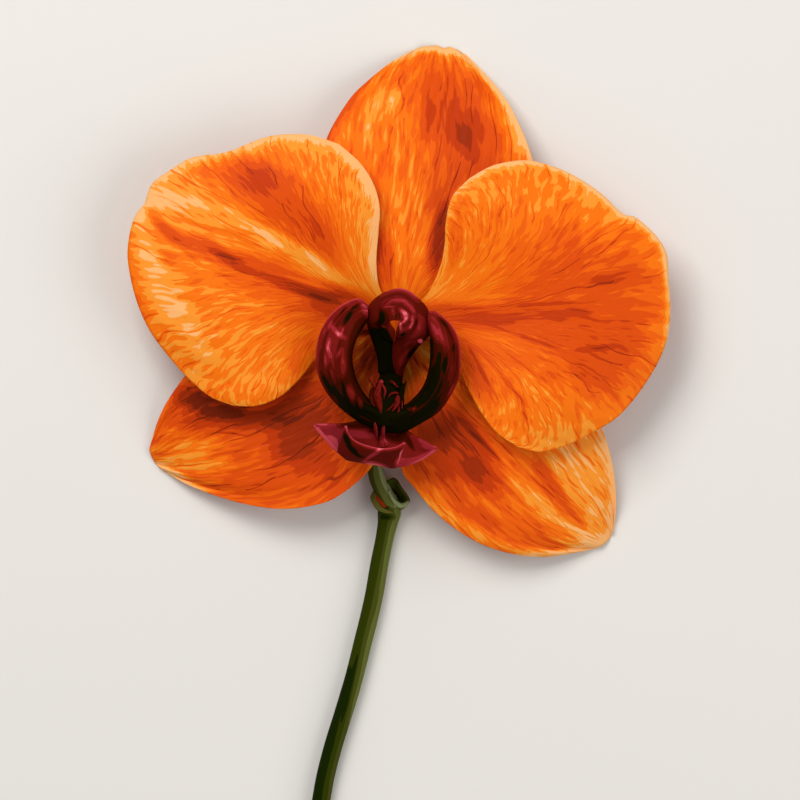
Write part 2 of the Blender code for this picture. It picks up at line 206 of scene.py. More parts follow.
def add_sheet(name, rows, thickness, material, tones, edges, grain, fan=0.0):
    """Make a leaf-like piece around a middle surface given as rows of points.

    tones and edges hold a value for each point: how light it is painted, which is its tissue's own colour
    with painted light and shade worked in, and how thick the piece is there. grain is where the piece's
    own streaks start in the pattern that all pieces share, and fan is how much its veins bend out towards
    the sides on their way to the margin.
    """
    along, across = len(rows), len(rows[0])
    form = bmesh.new()
    bmesh.ops.create_grid(form, x_segments=across - 1, y_segments=along - 1, size=1.0)
    tone_layer = form.verts.layers.float.new("tone")
    vein_layer = form.loops.layers.uv.new("veins")
    group_layer = form.verts.layers.deform.verify()
    for vertex in form.verts:
        column = round((vertex.co.x + 1.0) / 2.0 * (across - 1))
        row = round((vertex.co.y + 1.0) / 2.0 * (along - 1))
        vertex.co = world_point(*rows[row][column])
        vertex[tone_layer] = tones[row][column]
        vertex[group_layer][0] = edges[row][column]
        share = row / (along - 1)
        vein = 0.5 + (column / (across - 1) - 0.5) * (1.0 - fan * share ** FAN_CURVE)
        for loop in vertex.link_loops:
            loop[vein_layer].uv = (vein + grain, share + grain)
    item = finish_piece(name, form, material)
    item.vertex_groups.new(name="body")
    wall = item.modifiers.new("thickness", "SOLIDIFY")
    wall.thickness = thickness * MM
    wall.offset = 0.0
    wall.vertex_group = "body"
    wall.thickness_vertex_group = THINNEST_EDGE
    return item


def add_tepal(name, edge_a, margin_a, margin_b, edge_b, heights, lift, pillow, curl, thickness,
              material, base_tone, patches, lit_margin, rim_width, grain, fan):
    """Fill a tepal's outline from its claw to its margin with fine veined tissue.

    edge_a and edge_b start at the claw. margin_a and margin_b run from the last point of edge_a, past
    the tepal's tip, to where edge_b ends. heights run from claw to margin, and lift keeps the margin's
    two ends up as it droops. pillow swells the two halves and curl raises the two sides. patches paint
    the face lighter and darker: flame-like streaks, and painted shade where petals, lip and column
    would shadow it. lit_margin paints a highlight, darkened in a few places, only on a rim of about
    rim_width along the outline.
    """
    along, half = 90, 90
    across = 2 * half
    side_a = smooth_route(edge_a, along + 1)
    side_b = smooth_route([*edge_b, margin_b[-1]], along + 1)
    outer = (smooth_route([edge_a[-1], *margin_a], half + 1)
             + smooth_route([margin_a[-1], *margin_b], half + 1)[1:])
    outline = KDTree(len(side_a) + len(side_b) + len(outer))
    for index, point in enumerate(side_a + side_b + outer):
        outline.insert((point.x, point.y, 0.0), index)
    outline.balance()
    rows, tones, edges = [], [], []
    for step, (left, right) in enumerate(zip(side_a, side_b)):
        s = step / along
        row, tone_row, edge_row = [], [], []
        for column, rim in enumerate(outer):
            t = column / across
            claw = side_a[0].lerp(side_b[0], t)
            chord = outer[0].lerp(outer[-1], t)
            flat = claw.lerp(rim, s) + left.lerp(right, t) - claw.lerp(chord, s)
            out = abs(2 * t - 1)
            height = smooth_value(heights, s * (1.0 - lift * out ** 6))
            height += pillow * sin(pi * out) * s * (1.4 - s) + curl * out ** 2 * sin(pi * s) ** 2
            inset = outline.find((flat.x, flat.y, 0.0))[2]
            edge = exp(-(inset / rim_width) ** 2)
            ruffle = RUFFLE_HEIGHT * sin(19 * t + 2.0 * sin(7 * t)) * exp(-(inset / RUFFLE_REACH) ** 2) * s
            crease = CREASE_HEIGHT * sin(40 * pi * t + 5.0 * sin(9 * s + 4 * t)) * s * (1.0 - edge)
            row.append(Vector((flat.x, flat.y, height + ruffle + crease)))
            tone_row.append(base_tone + sum_of_patches(flat.x, flat.y, patches)
                            + PALE_MARGIN * exp(-(inset / PALE_REACH) ** 2)
                            + edge * sum_of_patches(flat.x, flat.y, lit_margin))
            edge_row.append(1.0 - exp(-(inset / EDGE_TAPER) ** 2))
        rows.append(row)
        tones.append(tone_row)
        edges.append(edge_row)
    item = add_sheet(name, rows, thickness, material, tones, edges, grain, fan)
    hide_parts(name)
    return item


def palette(*colours):
    """Colours given as 0 to 255, as the eye sees them, in the shader's linear values."""
    return [(*[(value / 255) ** 2.2 for value in colour], 1.0) for colour in colours]


ORANGES = palette((118, 36, 4), (158, 48, 6), (194, 60, 8), (221, 79, 12), (237, 97, 14),
                  (247, 116, 18), (250, 149, 48), (252, 181, 112))
ORANGE_BORDERS = (0.1, 0.22, 0.34, 0.46, 0.57, 0.7, 0.85)
SOFT_BORDER = 0.012
VEIN_DRIFT, VEIN_WANDER, VEIN_BREAKS = 0.03, 1.6, 0.56
RELIEF_DEPTH = 0.4 * MM


def add_node(tree, kind, inputs=None, **options):
    """Add a shader node with its options and its inputs."""
    made = tree.nodes.new("ShaderNode" + kind)
    for option, value in options.items():
        setattr(made, option, value)
    set_inputs(made, inputs or {})
    return made


def combine(tree, operation, first, second):
    """One arithmetic step between two values of a shader."""
    return add_node(tree, "Math", {0: first, 1: second}, operation=operation).outputs[0]


def vein_noise(tree, vector, across, along, detail, shift=(0.0, 0.0)):
    """Noise from 0 to 1, with its own count of swings across the veins and along them."""
    mapped = add_node(tree, "Mapping", {"Vector": vector, "Scale": (across, along, 1.0),
                                        "Location": (*shift, 0.0)})
    return add_node(tree, "TexNoise", {"Vector": mapped.outputs[0], "Scale": 1.0, "Detail": detail,
                                       "Roughness": 0.55}).outputs[0]


def swing(tree, noise, strength):
    """Noise as a swing around nought, scaled by strength."""
    return combine(tree, "MULTIPLY", combine(tree, "SUBTRACT", noise, 0.5), strength)


def layered_colour(tree, value, colours, borders):
    """A ramp of flat colours that meet in narrow soft borders."""
    ramp = add_node(tree, "ValToRGB", {"Fac": value})
    stops = ramp.color_ramp.elements
    stops[0].position, stops[0].color = 0.0, colours[0]
    stops[1].position, stops[1].color = 1.0, colours[-1]
    for border, below, above in zip(borders, colours, colours[1:]):
        stops.new(border - SOFT_BORDER).color = below
        stops.new(border + SOFT_BORDER).color = above
    return ramp.outputs["Color"]


def new_tissue(name):
    """Start a material, and return it with its nodes, its shader, its vein lines and its tone."""
    material, shader = new_material(name)
    tree = material.node_tree
    lines = add_node(tree, "UVMap", uv_map="veins").outputs[0]
    tone = add_node(tree, "Attribute", attribute_name="tone").outputs["Fac"]
    return material, tree, shader, lines, tone


def finish_tissue(tree, shader, tone, colours, borders, relief, relief_strength):
    """Colour a tissue by its tone, and give it a fine relief."""
    colour = layered_colour(tree, tone, colours, borders)
    bump = add_node(tree, "Bump", {"Height": relief, "Strength": relief_strength, "Distance": RELIEF_DEPTH})
    set_inputs(shader, {"Base Color": colour, "Normal": bump.outputs[0]})


def tepal_tissue(name, across_scale, flame_strength, claw_share):
    """Satin orange tissue with flame-like streaks and thin veins along its own fan of lines.

    Broad streaks lead at the claw, and the fine ones grow to full strength within claw_share of the
    tepal's length.
    """
    material, tree, shader, lines, tone = new_tissue(name)
    drift = swing(tree, vein_noise(tree, lines, 6.0, 4.0, 2.0, (3.1, 0.4)), VEIN_DRIFT)
    apart = add_node(tree, "SeparateXYZ", {"Vector": lines})
    across = combine(tree, "ADD", apart.outputs[0], drift)
    warped = add_node(tree, "CombineXYZ", {0: across, 1: apart.outputs[1]}).outputs[0]
    calm = add_node(tree, "MapRange", {"Value": tone, "From Min": 0.34, "From Max": 0.6,
                                       "To Min": 0.36, "To Max": 1.0}).outputs[0]
    # A tepal's grain is a whole number, so the rest is the share of the way from claw to margin.
    from_claw = combine(tree, "FRACT", apart.outputs[1], 0.0)
    for count, along, detail, at_claw, strength in ((13.0, 2.4, 2.0, 0.36, 0.2),
                                                    (40.0, 5.0, 2.0, 0.3, 0.25),
                                                    (96.0, 10.0, 1.5, 0.16, 0.62)):
        licks = vein_noise(tree, warped, count * across_scale, along, detail, (along, 0.0))
        growing = add_node(tree, "MapRange",
                           {"Value": from_claw, "From Min": 0.05, "From Max": claw_share,
                            "To Min": at_claw * flame_strength,
                            "To Max": strength * flame_strength}).outputs[0]
        flames = combine(tree, "MULTIPLY", swing(tree, licks, growing), calm)
        tone = combine(tree, "ADD", tone, flames)
    for count, width, strength, shift in ((17.0, 0.03, -0.17, 1.3), (31.0, 0.035, -0.17, 6.1),
                                          (24.0, 0.03, 0.08, 9.7)):
        wander = vein_noise(tree, lines, 7.0, 4.0, 1.5, (shift, shift))
        wander = combine(tree, "MULTIPLY", wander, VEIN_WANDER)
        count *= across_scale
        place = combine(tree, "ADD", combine(tree, "MULTIPLY", across, count), wander)
        line = combine(tree, "LESS_THAN", combine(tree, "PINGPONG", place, 0.5), width)
        breaks = vein_noise(tree, warped, count, 3.5, 1.0, (shift, 0.0))
        shown = combine(tree, "MULTIPLY", line, combine(tree, "GREATER_THAN", breaks, VEIN_BREAKS))
        tone = combine(tree, "ADD", tone, combine(tree, "MULTIPLY", shown, strength))
    finish_tissue(tree, shader, tone, ORANGES, ORANGE_BORDERS, licks, 0.35)
    gloss = add_node(tree, "MapRange", {"Value": licks, "To Min": 0.5, "To Max": 0.65})
    set_inputs(shader, {"Roughness": gloss.outputs[0], "Specular IOR Level": 0.08,
                        "Subsurface Weight": 0.12, "Subsurface Radius": (1.0, 0.35, 0.1),
                        "Subsurface Scale": 0.0008})
    return material


sepal_form = {"lift": 0.0, "pillow": 0.4, "curl": 0.5, "thickness": 0.7,
              "material": tepal_tissue("sepal_tissue", 0.5, 1.3, 0.35)}
petal_form = {"heights": [PETAL_CLAW, 10.7, 12.4, 12.6, 9.8], "lift": 0.2, "curl": 0.3,
              "thickness": 0.6, "fan": 0.45, "material": tepal_tissue("petal_tissue", 1.3, 1.0, 0.6)}
# Painted shade: the patches at (-2.8, 12.5) and (7.6, 15.5) darken the dorsal sepal's base where the petals
# overlap it.
dorsal_sepal = add_tepal("dorsal_sepal", **sepal_form, base_tone=0.55, rim_width=1.1, grain=2.0, fan=0.55,
                         heights=[SEPAL_CLAW, 9.2, 8.2, 5.0, 0.37], edge_a=[
    (-1.7, 2.8), (-8, 9.5), (-12.8, 17.5), (-14.3, 26), (-12.9, 33.4), (-8.9, 40.4), (-5.4, 44), (-1.3, 47.3),
    (1.8, 49.1)
], margin_a=[(4.2, 50.15), (7, 50.5)], margin_b=[(8.3, 50), (9.7, 50.15), (12.5, 48.6)], edge_b=[
    (2.3, 2.5), (10, 8), (18.5, 14.5), (23.2, 21), (24.5, 27), (23.6, 31.8), (20.4, 39.1), (17.3, 43.5)
], patches=[
    (10.6, 39.5, 7.6, 6.8, 100, -0.19), (13.4, 32, 6.5, 5.4, 104, -0.17), (5.9, 38.2, 2.4, 1, 88, -0.16),
    (13, 32, 3.6, 1.4, 105, -0.12), (1, 20.5, 12, 4, 90, 0.11), (3.4, 46.5, 4, 5, 0, -0.08),
    (-3.6, 36.5, 8, 3.4, 70, 0.09), (21, 33.5, 8, 2.4, 110, 0.06), (-12, 35.5, 11, 2.2, 58, -0.16),
    (-2.8, 12.5, 6, 2.2, 95, -0.24), (7.6, 15.5, 7, 2, 80, -0.38), (8.5, 24, 6, 4, 95, -0.1)
], lit_margin=[(17, 42, 22, 9, 125, 0.5), (4.5, 50, 7.5, 4, 10, 0.36), (-10, 38, 12, 6, 50, -0.1)])
# Painted shade: the patches at (-33.6, -14.3), (-17, -17.5) and (-27, -17) darken it under the left petal,
# and the one at (-6, -7) where it shows through the lip's opening.
lateral_sepal_left = add_tepal("lateral_sepal_left", **sepal_form, base_tone=0.44, rim_width=1.0, grain=4.0,
                               fan=0.55, heights=[SEPAL_CLAW, 9.0, 8.4, 5.4, 0.37], edge_a=[
    (-3.4, 0.3), (-12, 1), (-22, 0.5), (-30, -2), (-36, -6.5), (-40.6, -12.3), (-43, -16.7), (-44.4, -21)
], margin_a=[(-44.8, -22.5), (-44.4, -23.8)], margin_b=[(-43.5, -25.2), (-41.9, -26.4)], edge_b=[
    (-1.1, -3.2), (-1.5, -9), (-1.9, -14), (-2.6, -20.5), (-5.1, -26), (-10.9, -30.9), (-15.8, -32.6),
    (-21.3, -33.1), (-26.8, -32.4), (-32.3, -30.9), (-37.8, -28.8)
], patches=[
    (-33.6, -14.3, 7.5, 2.4, -18, -0.32), (-38.5, -15.5, 6, 5, -60, -0.12), (-17, -17.5, 9, 7, -65, -0.26),
    (-27, -17, 10, 2.4, 0, -0.14), (-6, -7, 5, 9, 0, -0.2), (-6.6, -3, 1.4, 0.3, 40, 0.26),
    (-6.9, -5.4, 1.5, 0.28, 44, 0.26), (-5.2, -6.4, 1.3, 0.28, 58, 0.24), (-6.3, -8.8, 1.6, 0.3, 60, 0.26),
    (-4.9, -10.2, 1.2, 0.28, 76, 0.24), (-5.4, -3.9, 0.8, 0.24, 50, 0.22), (-37.5, -23, 7, 4, -12, 0.22),
    (-42, -21.4, 3.4, 1.8, -20, -0.12), (-9, -27.6, 6, 3.4, 30, -0.14), (-20, -26, 7, 5, 20, -0.06),
    (-7.2, -4.6, 3.4, 0.9, 80, 0.18), (-6.2, -10.8, 2.8, 1.3, -70, 0.18), (-5.1, -6.9, 1.8, 1.2, 60, -0.1),
    (-7, -25, 4, 6, 30, 0.08), (-26, -28.5, 7, 3, -8, -0.03)
], lit_margin=[(-39.8, -27.6, 5.2, 2.2, -28, 0.52), (-42, -15, 9, 4, 70, 0.04)])
# Painted shade: the patches at (8.6, -20.5) and (4, -7) darken it beside the lip, under the right petal and
# where it shows through the lip's opening.
lateral_sepal_right = add_tepal("lateral_sepal_right", **sepal_form, base_tone=0.58, rim_width=1.3, grain=6.0,
                                fan=0.5, heights=[SEPAL_CLAW, 9.0, 8.4, 5.4, 0.37], edge_a=[
    (0.55, -3.4), (-0.2, -9), (-0.4, -14), (-0.4, -20.5), (0.8, -26.4), (2.8, -29.1), (6.3, -33.3),
    (10.4, -36.7), (15.2, -39.5), (20.8, -41.2), (26.3, -41.7), (31.8, -41), (34.6, -40.4)
], margin_a=[(36.2, -40), (37.5, -39.2)], margin_b=[(38.5, -37.8), (39, -35.8)], edge_b=[
    (3.4, -0.3), (11, -1.8), (20, -4.2), (28.5, -8.3), (34.2, -13.5), (36.8, -18.8), (38.6, -25), (39.3, -31)
], patches=[
    (8.6, -20.5, 10.5, 6.6, -50, -0.35), (14.8, -20.6, 6.5, 0.7, -48, -0.24), (4, -7, 4, 8, 0, -0.07),
    (4.5, -4.6, 2.8, 1.6, -50, 0.07), (4.9, -5, 1.6, 0.32, -46, 0.16), (2.2, -8.4, 1.6, 0.3, -70, 0.14),
    (4.4, -8.8, 1.5, 0.3, -58, 0.14), (3.2, -6.4, 1.3, 0.28, -60, -0.3), (5.2, -8, 1.4, 0.3, -52, -0.3),
    (6, -17.5, 5, 4, -50, -0.12), (2.6, -25.5, 5, 2.4, -62, -0.22), (16, -28, 5, 3, -50, -0.2),
    (28.8, -30.6, 8, 1.6, -54, -0.26), (27.8, -33.8, 11, 1.2, -40, 0.16), (33.5, -28, 11, 5.4, -72, 0.16),
    (35, -38.4, 3, 1.6, -30, 0.12), (21.5, -37, 10, 2.2, -24, -0.14), (12, -32.4, 8, 1.8, -44, -0.16)
], lit_margin=[(38.5, -29, 14, 6, -83, 0.34), (34, -40, 6, 2.5, 8, 0.3), (27, -41.2, 6, 1.2, 0, 0.25)])
# Painted shadow: the patch at (-6.4, -0.2) darkens the petal's claw under the hood and the left side lobe.
petal_left = add_tepal("petal_left", **petal_form, base_tone=0.66, rim_width=1.5, grain=8.0, pillow=1.3,
                       edge_a=[
    (-3.35, -0.75), (-8.5, -1.2), (-13, -3.7), (-15.1, -6.4), (-17.8, -9.8), (-21.3, -12.9), (-25.4, -14.5),
    (-29.5, -14.5)
], margin_a=[
    (-33.7, -12.9), (-37.5, -9.8), (-41.2, -5.7), (-44.7, -0.9), (-47.1, 4.6), (-48.5, 10.8), (-48.5, 15),
    (-47.4, 19.4), (-45.6, 21.8)
], margin_b=[
    (-44.3, 25.3), (-41.2, 27.7), (-37.1, 30.1), (-30.9, 31.1), (-24, 33.7), (-19.2, 34.3), (-15.1, 34),
    (-10.6, 32.5)
], edge_b=[
    (-1.55, 3.05), (-3.4, 7), (-3.9, 11.5), (-3.5, 17), (-3.3, 21.2), (-4.4, 25.3), (-6.8, 29.1)
], patches=[
    (-20.5, 22, 13, 5.6, -40, -0.24), (-29, 27, 8, 3.4, -12, -0.16), (-17.5, 19.5, 7, 2, -50, -0.06),
    (-12.6, 14.6, 6, 2.2, -62, -0.1), (-42.4, 17.9, 5, 1.1, -44, -0.22), (-34.4, 13.4, 7.5, 1.7, -26, -0.24),
    (-6.4, -0.2, 3, 1.5, 0, -0.46), (-32.2, 13.2, 3, 0.9, -26, -0.08), (-24.2, 9.8, 9, 2.3, -18, -0.28),
    (-21, 6, 12, 2.6, -16, -0.16), (-13.5, 6.4, 7, 1.8, -12, -0.14), (-9, 3.4, 8, 3.2, -15, -0.32),
    (-19, 1.8, 9, 2.2, -5, -0.12), (-45, 14, 7.5, 2, -78, 0.13), (-42.6, 7.4, 7, 2.6, -70, 0.1),
    (-38.6, 1.6, 7, 3, -62, 0.09), (-32.5, -4, 8, 3, -40, 0.05), (-17.6, -4, 6, 3.6, 40, -0.08),
    (-15.4, -5, 7, 3.2, 60, -0.18), (-27, -12.4, 9, 2.4, -8, -0.08), (-40.5, 22.5, 8, 2, -20, 0.12),
    (-26, 17.4, 10, 1.8, -28, 0.1), (-17.3, 12.8, 11, 1.5, -33, 0.15), (-48, 4, 11, 2, -72, -0.06),
    (-23.6, 16, 3.6, 0.5, -36, 0.2), (-15, 11.8, 3.5, 0.45, -42, 0.16), (-40.9, 23.5, 3.7, 0.55, -40, 0.14),
    (-25.5, 8.2, 3.5, 0.45, -17, 0.16), (-16.3, 7.6, 5, 0.4, -16, 0.18), (-16.3, 5.4, 6.3, 0.45, -16, -0.14),
    (-31, 10.6, 3.4, 0.45, -30, 0.14), (-36.8, 12, 2.6, 0.4, -40, -0.14), (-38.8, -10.4, 14, 2.6, -44, -0.06),
    (-21, -7.5, 10, 4, 30, 0.04)
], lit_margin=[
    (-14, 32, 15, 9, 0, 0.3), (-4, 20, 13, 5, 90, 0.3), (-36, 30, 10, 5, 10, 0.2),
    (-46.5, 21, 3.5, 3, 90, 0.24), (-49, 5, 15, 5, 97, -0.13)
])
petal_right = add_tepal("petal_right", **petal_form, base_tone=0.62, rim_width=0.8, grain=10.0, pillow=1.0,
                        edge_a=[
    (2.3, 2.55), (5.5, 6), (7.6, 10.5), (8.4, 14.5), (8.6, 18.4), (9.7, 22.9), (12.8, 26.3)
], margin_a=[
    (17.3, 28.7), (22.8, 29.6), (27.3, 28.7), (31.8, 26.8), (36.6, 23.6), (40.4, 20), (42.8, 19.3),
    (46.2, 16.3), (48.3, 12.9), (48.7, 8.1), (49, 4.5)
], margin_b=[
    (49, 1.5), (48.3, -3), (46.2, -7.8), (42.8, -12.9), (39.3, -16.7), (35.2, -19.2), (30.4, -21.6),
    (25.6, -22.8), (21.4, -21.9)
], edge_b=[
    (3, -1.6), (7.5, -3.5), (10.3, -7), (12.3, -11), (14.8, -15.5), (17.6, -19.2)
], patches=[
    (33.5, 3.6, 17, 14, -20, -0.21), (39.5, 8.3, 6, 1.4, 8, -0.1), (31.9, 2.1, 5, 1.3, 0, -0.1),
    (24.5, 1.7, 6, 1.3, -5, -0.1), (10.5, 1.6, 11, 2.4, -6, -0.3), (34, -9, 5, 2, -40, -0.08),
    (16.5, 8, 8, 3.4, 30, 0.04), (17.6, -12, 9, 4.6, -60, -0.08), (13.4, -8.4, 6.5, 2.6, -62, -0.22),
    (23, -16, 14, 5, -35, 0.03), (12.5, -3, 8, 1.8, -24, -0.12), (10.4, 16, 6, 1.4, 86, -0.16),
    (26, 23, 16, 4, -8, 0.05), (39, -7, 8, 7, -50, -0.09), (23, 3.6, 13, 0.4, 3, -0.14),
    (23.5, -2.5, 7, 0.42, -19, -0.14), (35, -4.3, 5, 0.42, 6, -0.12), (17.8, 5.2, 4.2, 0.4, 2, 0.12),
    (19.5, -10.2, 7.7, 0.45, -50, -0.13), (23.2, -7.7, 5.9, 0.42, -36, -0.12),
    (15.6, -9.2, 6, 0.42, -62, -0.13), (21.7, 22.6, 3, 0.4, 76, -0.12)
], lit_margin=[
    (22, 29, 18, 5, 0, 0.34), (42, 18, 13, 6, -45, 0.36), (49, 5, 10, 3.5, 90, 0.36), (9, 17, 8, 3, 90, 0.14)
])


# ---- Lip ----
# Crimson to near-black waxy flesh: two cupped side lobes that meet below, a toothed callus between
# them, and a boat-shaped mid-lobe in front whose folded wall ends in two cusps. Pink highlights along
# its rims and folds are painted into the tone, and so is the shade in its hollows.

EDGE_THINNING = 0.5
GRAIN_STEP = 0.37


def add_flesh(name, rails, along, across, thickness, material, grain, patches=()):
    """Make a fleshy sheet from rails of x, y, z and tone, with soft oval patches added to its tone."""
    routes = [smooth_route(rail, along) for rail in rails]
    rows = [smooth_route([route[step] for route in routes], across) for step in range(along)]
    tones = [[point[3] + sum_of_patches(point.x, point.y, patches) for point in row] for row in rows]
    taper = [1.0 - EDGE_THINNING * abs(2 * step / (across - 1) - 1) ** 8 for step in range(across)]
    return add_sheet(name, [[point.to_3d() for point in row] for row in rows], thickness, material,
                     tones, [taper] * along, grain)


def add_stalk(name, stations, around, along, material, grain, side_tones=(0.0, 0.0), patches=()):
    """Make a closed rounded stalk from stations of x, y, z, half width, half depth and tone.

    side_tones is added to the tone from the stalk's left side to its right side.
    """
    route = smooth_route(stations, along)
    form = bmesh.new()
    tone_layer = form.verts.layers.float.new("tone")
    vein_layer = form.loops.layers.uv.new("veins")
    rings = []
    for step, place in enumerate(route):
        before, after = route[max(step - 1, 0)], route[min(step + 1, along - 1)]
        ahead = Vector(after[:3]) - Vector(before[:3])
        side = Vector((1.0, 0.0, 0.0))
        side = (side - ahead * side.dot(ahead) / ahead.length_squared).normalized()
        front = side.cross(ahead).normalized()
        ring = []
        for turn in range(around):
            angle = 2 * pi * turn / around
            point = Vector(place[:3]) + side * (place[3] * cos(angle)) + front * (place[4] * sin(angle))
            vertex = form.verts.new(world_point(*point))
            vertex[tone_layer] = (place[5] + smooth_value(side_tones, (cos(angle) + 1) / 2)
                                  + sum_of_patches(point.x, point.y, patches))
            ring.append(vertex)
        rings.append(ring)
    for step, (first, second) in enumerate(zip(rings, rings[1:])):
        for turn in range(around):
            following = (turn + 1) % around
            face = form.faces.new((first[turn], first[following], second[following], second[turn]))
            corners = ((turn, step), (turn + 1, step), (turn + 1, step + 1), (turn, step + 1))
            for loop, (column, row) in zip(face.loops, corners):
                loop[vein_layer].uv = (column / around + grain, row / (along - 1) + grain)
    form.faces.new(rings[0][::-1])
    form.faces.new(rings[-1])
    bmesh.ops.recalc_face_normals(form, faces=form.faces)
    return finish_piece(name, form, material)


def streaked_flesh(name, colours, borders, streaks, roughness, sheen_tint):
    """Firm flesh whose tone breaks up into streaks: their count across and along, and strength."""
    material, tree, shader, lines, tone = new_tissue(name)
    for across, along, strength in streaks:
        streak = swing(tree, vein_noise(tree, lines, across, along, 2.0), strength)
        tone = combine(tree, "ADD", tone, streak)
    finish_tissue(tree, shader, tone, colours, borders, streak, 0.3)
    set_inputs(shader, {"Roughness": roughness, "Specular IOR Level": 0.015, "Specular Tint": sheen_tint})
    return material


CRIMSONS = palette((22, 22, 5), (66, 21, 4), (92, 24, 16), (121, 31, 28), (154, 43, 50),
                   (200, 73, 84), (222, 109, 118))
CRIMSON_BORDERS = (0.12, 0.32, 0.46, 0.64, 0.8, 0.93)


def crimson_flesh(name, streaks, roughness, sheen_tint=(1.0, 0.45, 0.5, 1.0)):
    """The flesh of lip, column and anther cap, which share one row of colours."""
    return streaked_flesh(name, CRIMSONS, CRIMSON_BORDERS, streaks, roughness, sheen_tint)


lip_flesh = crimson_flesh("lip_flesh", ((5.0, 5.0, 0.3), (16.0, 7.0, 0.6)), 0.42)
wall_flesh = crimson_flesh("wall_flesh", ((3.0, 2.0, 0.08), (9.0, 5.0, 0.08)), 0.6)

# The fourth value of each rail point is its tone. The high tones on lobes_edge paint a pink highlight on the
# outer rim, and the near-black on lobes_inner is painted shade on the inner margin.
lobes_rear = [
    (-6.2, 2.4, 15.6, 0.3), (-10.1, 1.2, 13.8, 0.3), (-12.6, -2, 13.2, 0.3), (-13.3, -6.5, 13.2, 0.3),
    (-12, -11, 13.2, 0.2), (-8.6, -15, 13.2, 0.1), (-2.2, -17.6, 13.2, 0.1), (3.4, -16.2, 13.2, 0.1),
    (7.8, -12.6, 13.2, 0.2), (9.8, -7.8, 13.2, 0.3), (9.4, -3.2, 13.2, 0.3), (7.9, 0.1, 13.8, 0.3),
    (6.1, 1.4, 15.6, 0.3)
]
lobes_edge = [
    (-5.6, 3.2, 17.4, 0.8), (-7.3, 4.25, 17.2, 0.84), (-10, 3.1, 16.8, 0.84), (-12.3, 0.9, 16.8, 0.8),
    (-13.8, -2.1, 16.9, 0.74), (-14.4, -5.5, 17, 0.7), (-14, -8.8, 17, 0.5), (-12.6, -11.8, 16.8, 0.3),
    (-10.3, -14.5, 16.6, 0.12), (-7.5, -16.7, 16.4, 0.05), (-4.4, -18.3, 16.2, 0.05),
    (-1.4, -19.1, 16, 0.03), (1.2, -18.8, 16.2, 0.03), (4.2, -17.2, 16.4, 0.05), (6.9, -15.5, 16.6, 0.18),
    (9, -12.8, 16.8, 0.36), (10.5, -9.6, 17, 0.5), (10.9, -6.2, 17, 0.76), (10.6, -3.2, 16.9, 0.84),
    (9.6, -0.7, 16.8, 0.84), (8, 1, 16.8, 0.84), (6.4, 2.1, 17.2, 0.82), (5.3, 1.8, 17.4, 0.74)
]
lobes_cheek = [
    (-5.5, 2.7, 18.4, 0.72), (-7, 3.6, 18.6, 0.6), (-9.5, 2.6, 18.5, 0.46), (-11.7, 0.6, 18.5, 0.46),
    (-13.1, -2.1, 18.7, 0.48), (-13.6, -5.5, 18.8, 0.44), (-13.2, -8.6, 18.8, 0.32),
    (-11.9, -11.4, 18.6, 0.2), (-9.8, -13.9, 18.2, 0.04), (-7.2, -16, 17.8, 0.02),
    (-4.3, -17.5, 17.4, 0.02), (-1.4, -18.4, 17.2, 0.02), (1.2, -18.1, 17.4, 0.02), (4, -16.6, 17.8, 0.02),
    (6.5, -14.9, 18.2, 0.14), (8.4, -12.4, 18.6, 0.34), (9.8, -9.4, 18.8, 0.34), (10.2, -6.2, 18.8, 0.34),
    (9.9, -3.3, 18.7, 0.34), (9, -1, 18.5, 0.36), (7.6, 0.6, 18.5, 0.44), (6.2, 1.6, 18.6, 0.5),
    (5.4, 1.4, 18.5, 0.5)
]
lobes_face = [
    (-5.6, 2.2, 19.4, 0.56), (-6.6, 2.4, 20.2, 0.42), (-8.6, 1.3, 20.6, 0.36), (-10.3, -0.8, 20.9, 0.48),
    (-11.3, -3.6, 21.1, 0.48), (-11.5, -6.8, 21.2, 0.38), (-10.9, -9.8, 20.8, 0.28),
    (-9.6, -12.2, 20.2, 0.2), (-7.8, -14.2, 19.2, 0.06), (-5.6, -15.9, 18.4, 0.04), (-1.6, -17.3, 18, 0.02),
    (1.9, -16.8, 18.2, 0.02), (4.8, -15, 18.8, 0.02), (7, -12.4, 19.6, 0.08), (8.5, -9.2, 20.6, 0.24),
    (9, -6, 21, 0.34), (8.6, -3, 20.9, 0.4), (7.6, -0.8, 20.4, 0.42), (6.4, 0.9, 19.8, 0.54),
    (5.5, 1, 19.2, 0.54)
]
lobes_crest = [
    (-5.6, 1.6, 19, 0.36), (-6.5, 0.9, 20.3, 0.3), (-7.9, -1.4, 21.6, 0.26), (-9.2, -5, 22.2, 0.28),
    (-9.1, -8.8, 22, 0.26), (-8.2, -11.6, 21, 0.3), (-6.8, -13.8, 19.8, 0.1), (-4.4, -15.4, 18.8, 0.05),
    (-1.6, -16.1, 18.3, 0.02), (1.4, -15.7, 18.7, 0.02), (4, -14, 19.8, 0.02), (5.9, -11.8, 21, 0.04),
    (7, -8.9, 21.9, 0.1), (7.3, -5.4, 22.2, 0.16), (7, -2.2, 21.6, 0.46), (6.2, 0.2, 20.3, 0.52),
    (5.6, 0.8, 19, 0.5)
]
lobes_inner = [
    (-5.7, 1.2, 18.2, 0.2), (-6.2, 0, 18.9, 0.06), (-7.5, -2.2, 19.5, 0.03), (-8.4, -5.2, 19.7, 0.03),
    (-8.1, -8.4, 19.5, 0.03), (-7.1, -11, 18.7, 0.03), (-5.7, -13.1, 17.6, 0.03), (-3.8, -14.5, 16.8, 0.02),
    (-1.7, -15, 16.6, 0.02), (0.6, -14.9, 16.8, 0.02), (2.6, -13.6, 17.5, 0.02), (4.5, -11.4, 18.7, 0.03),
    (5.6, -8.6, 19.5, 0.05), (6, -5.4, 19.7, 0.1), (5.9, -2.2, 19.3, 0.3), (5.6, -0.6, 18.8, 0.3),
    (5.5, 0.2, 18.2, 0.3)
]
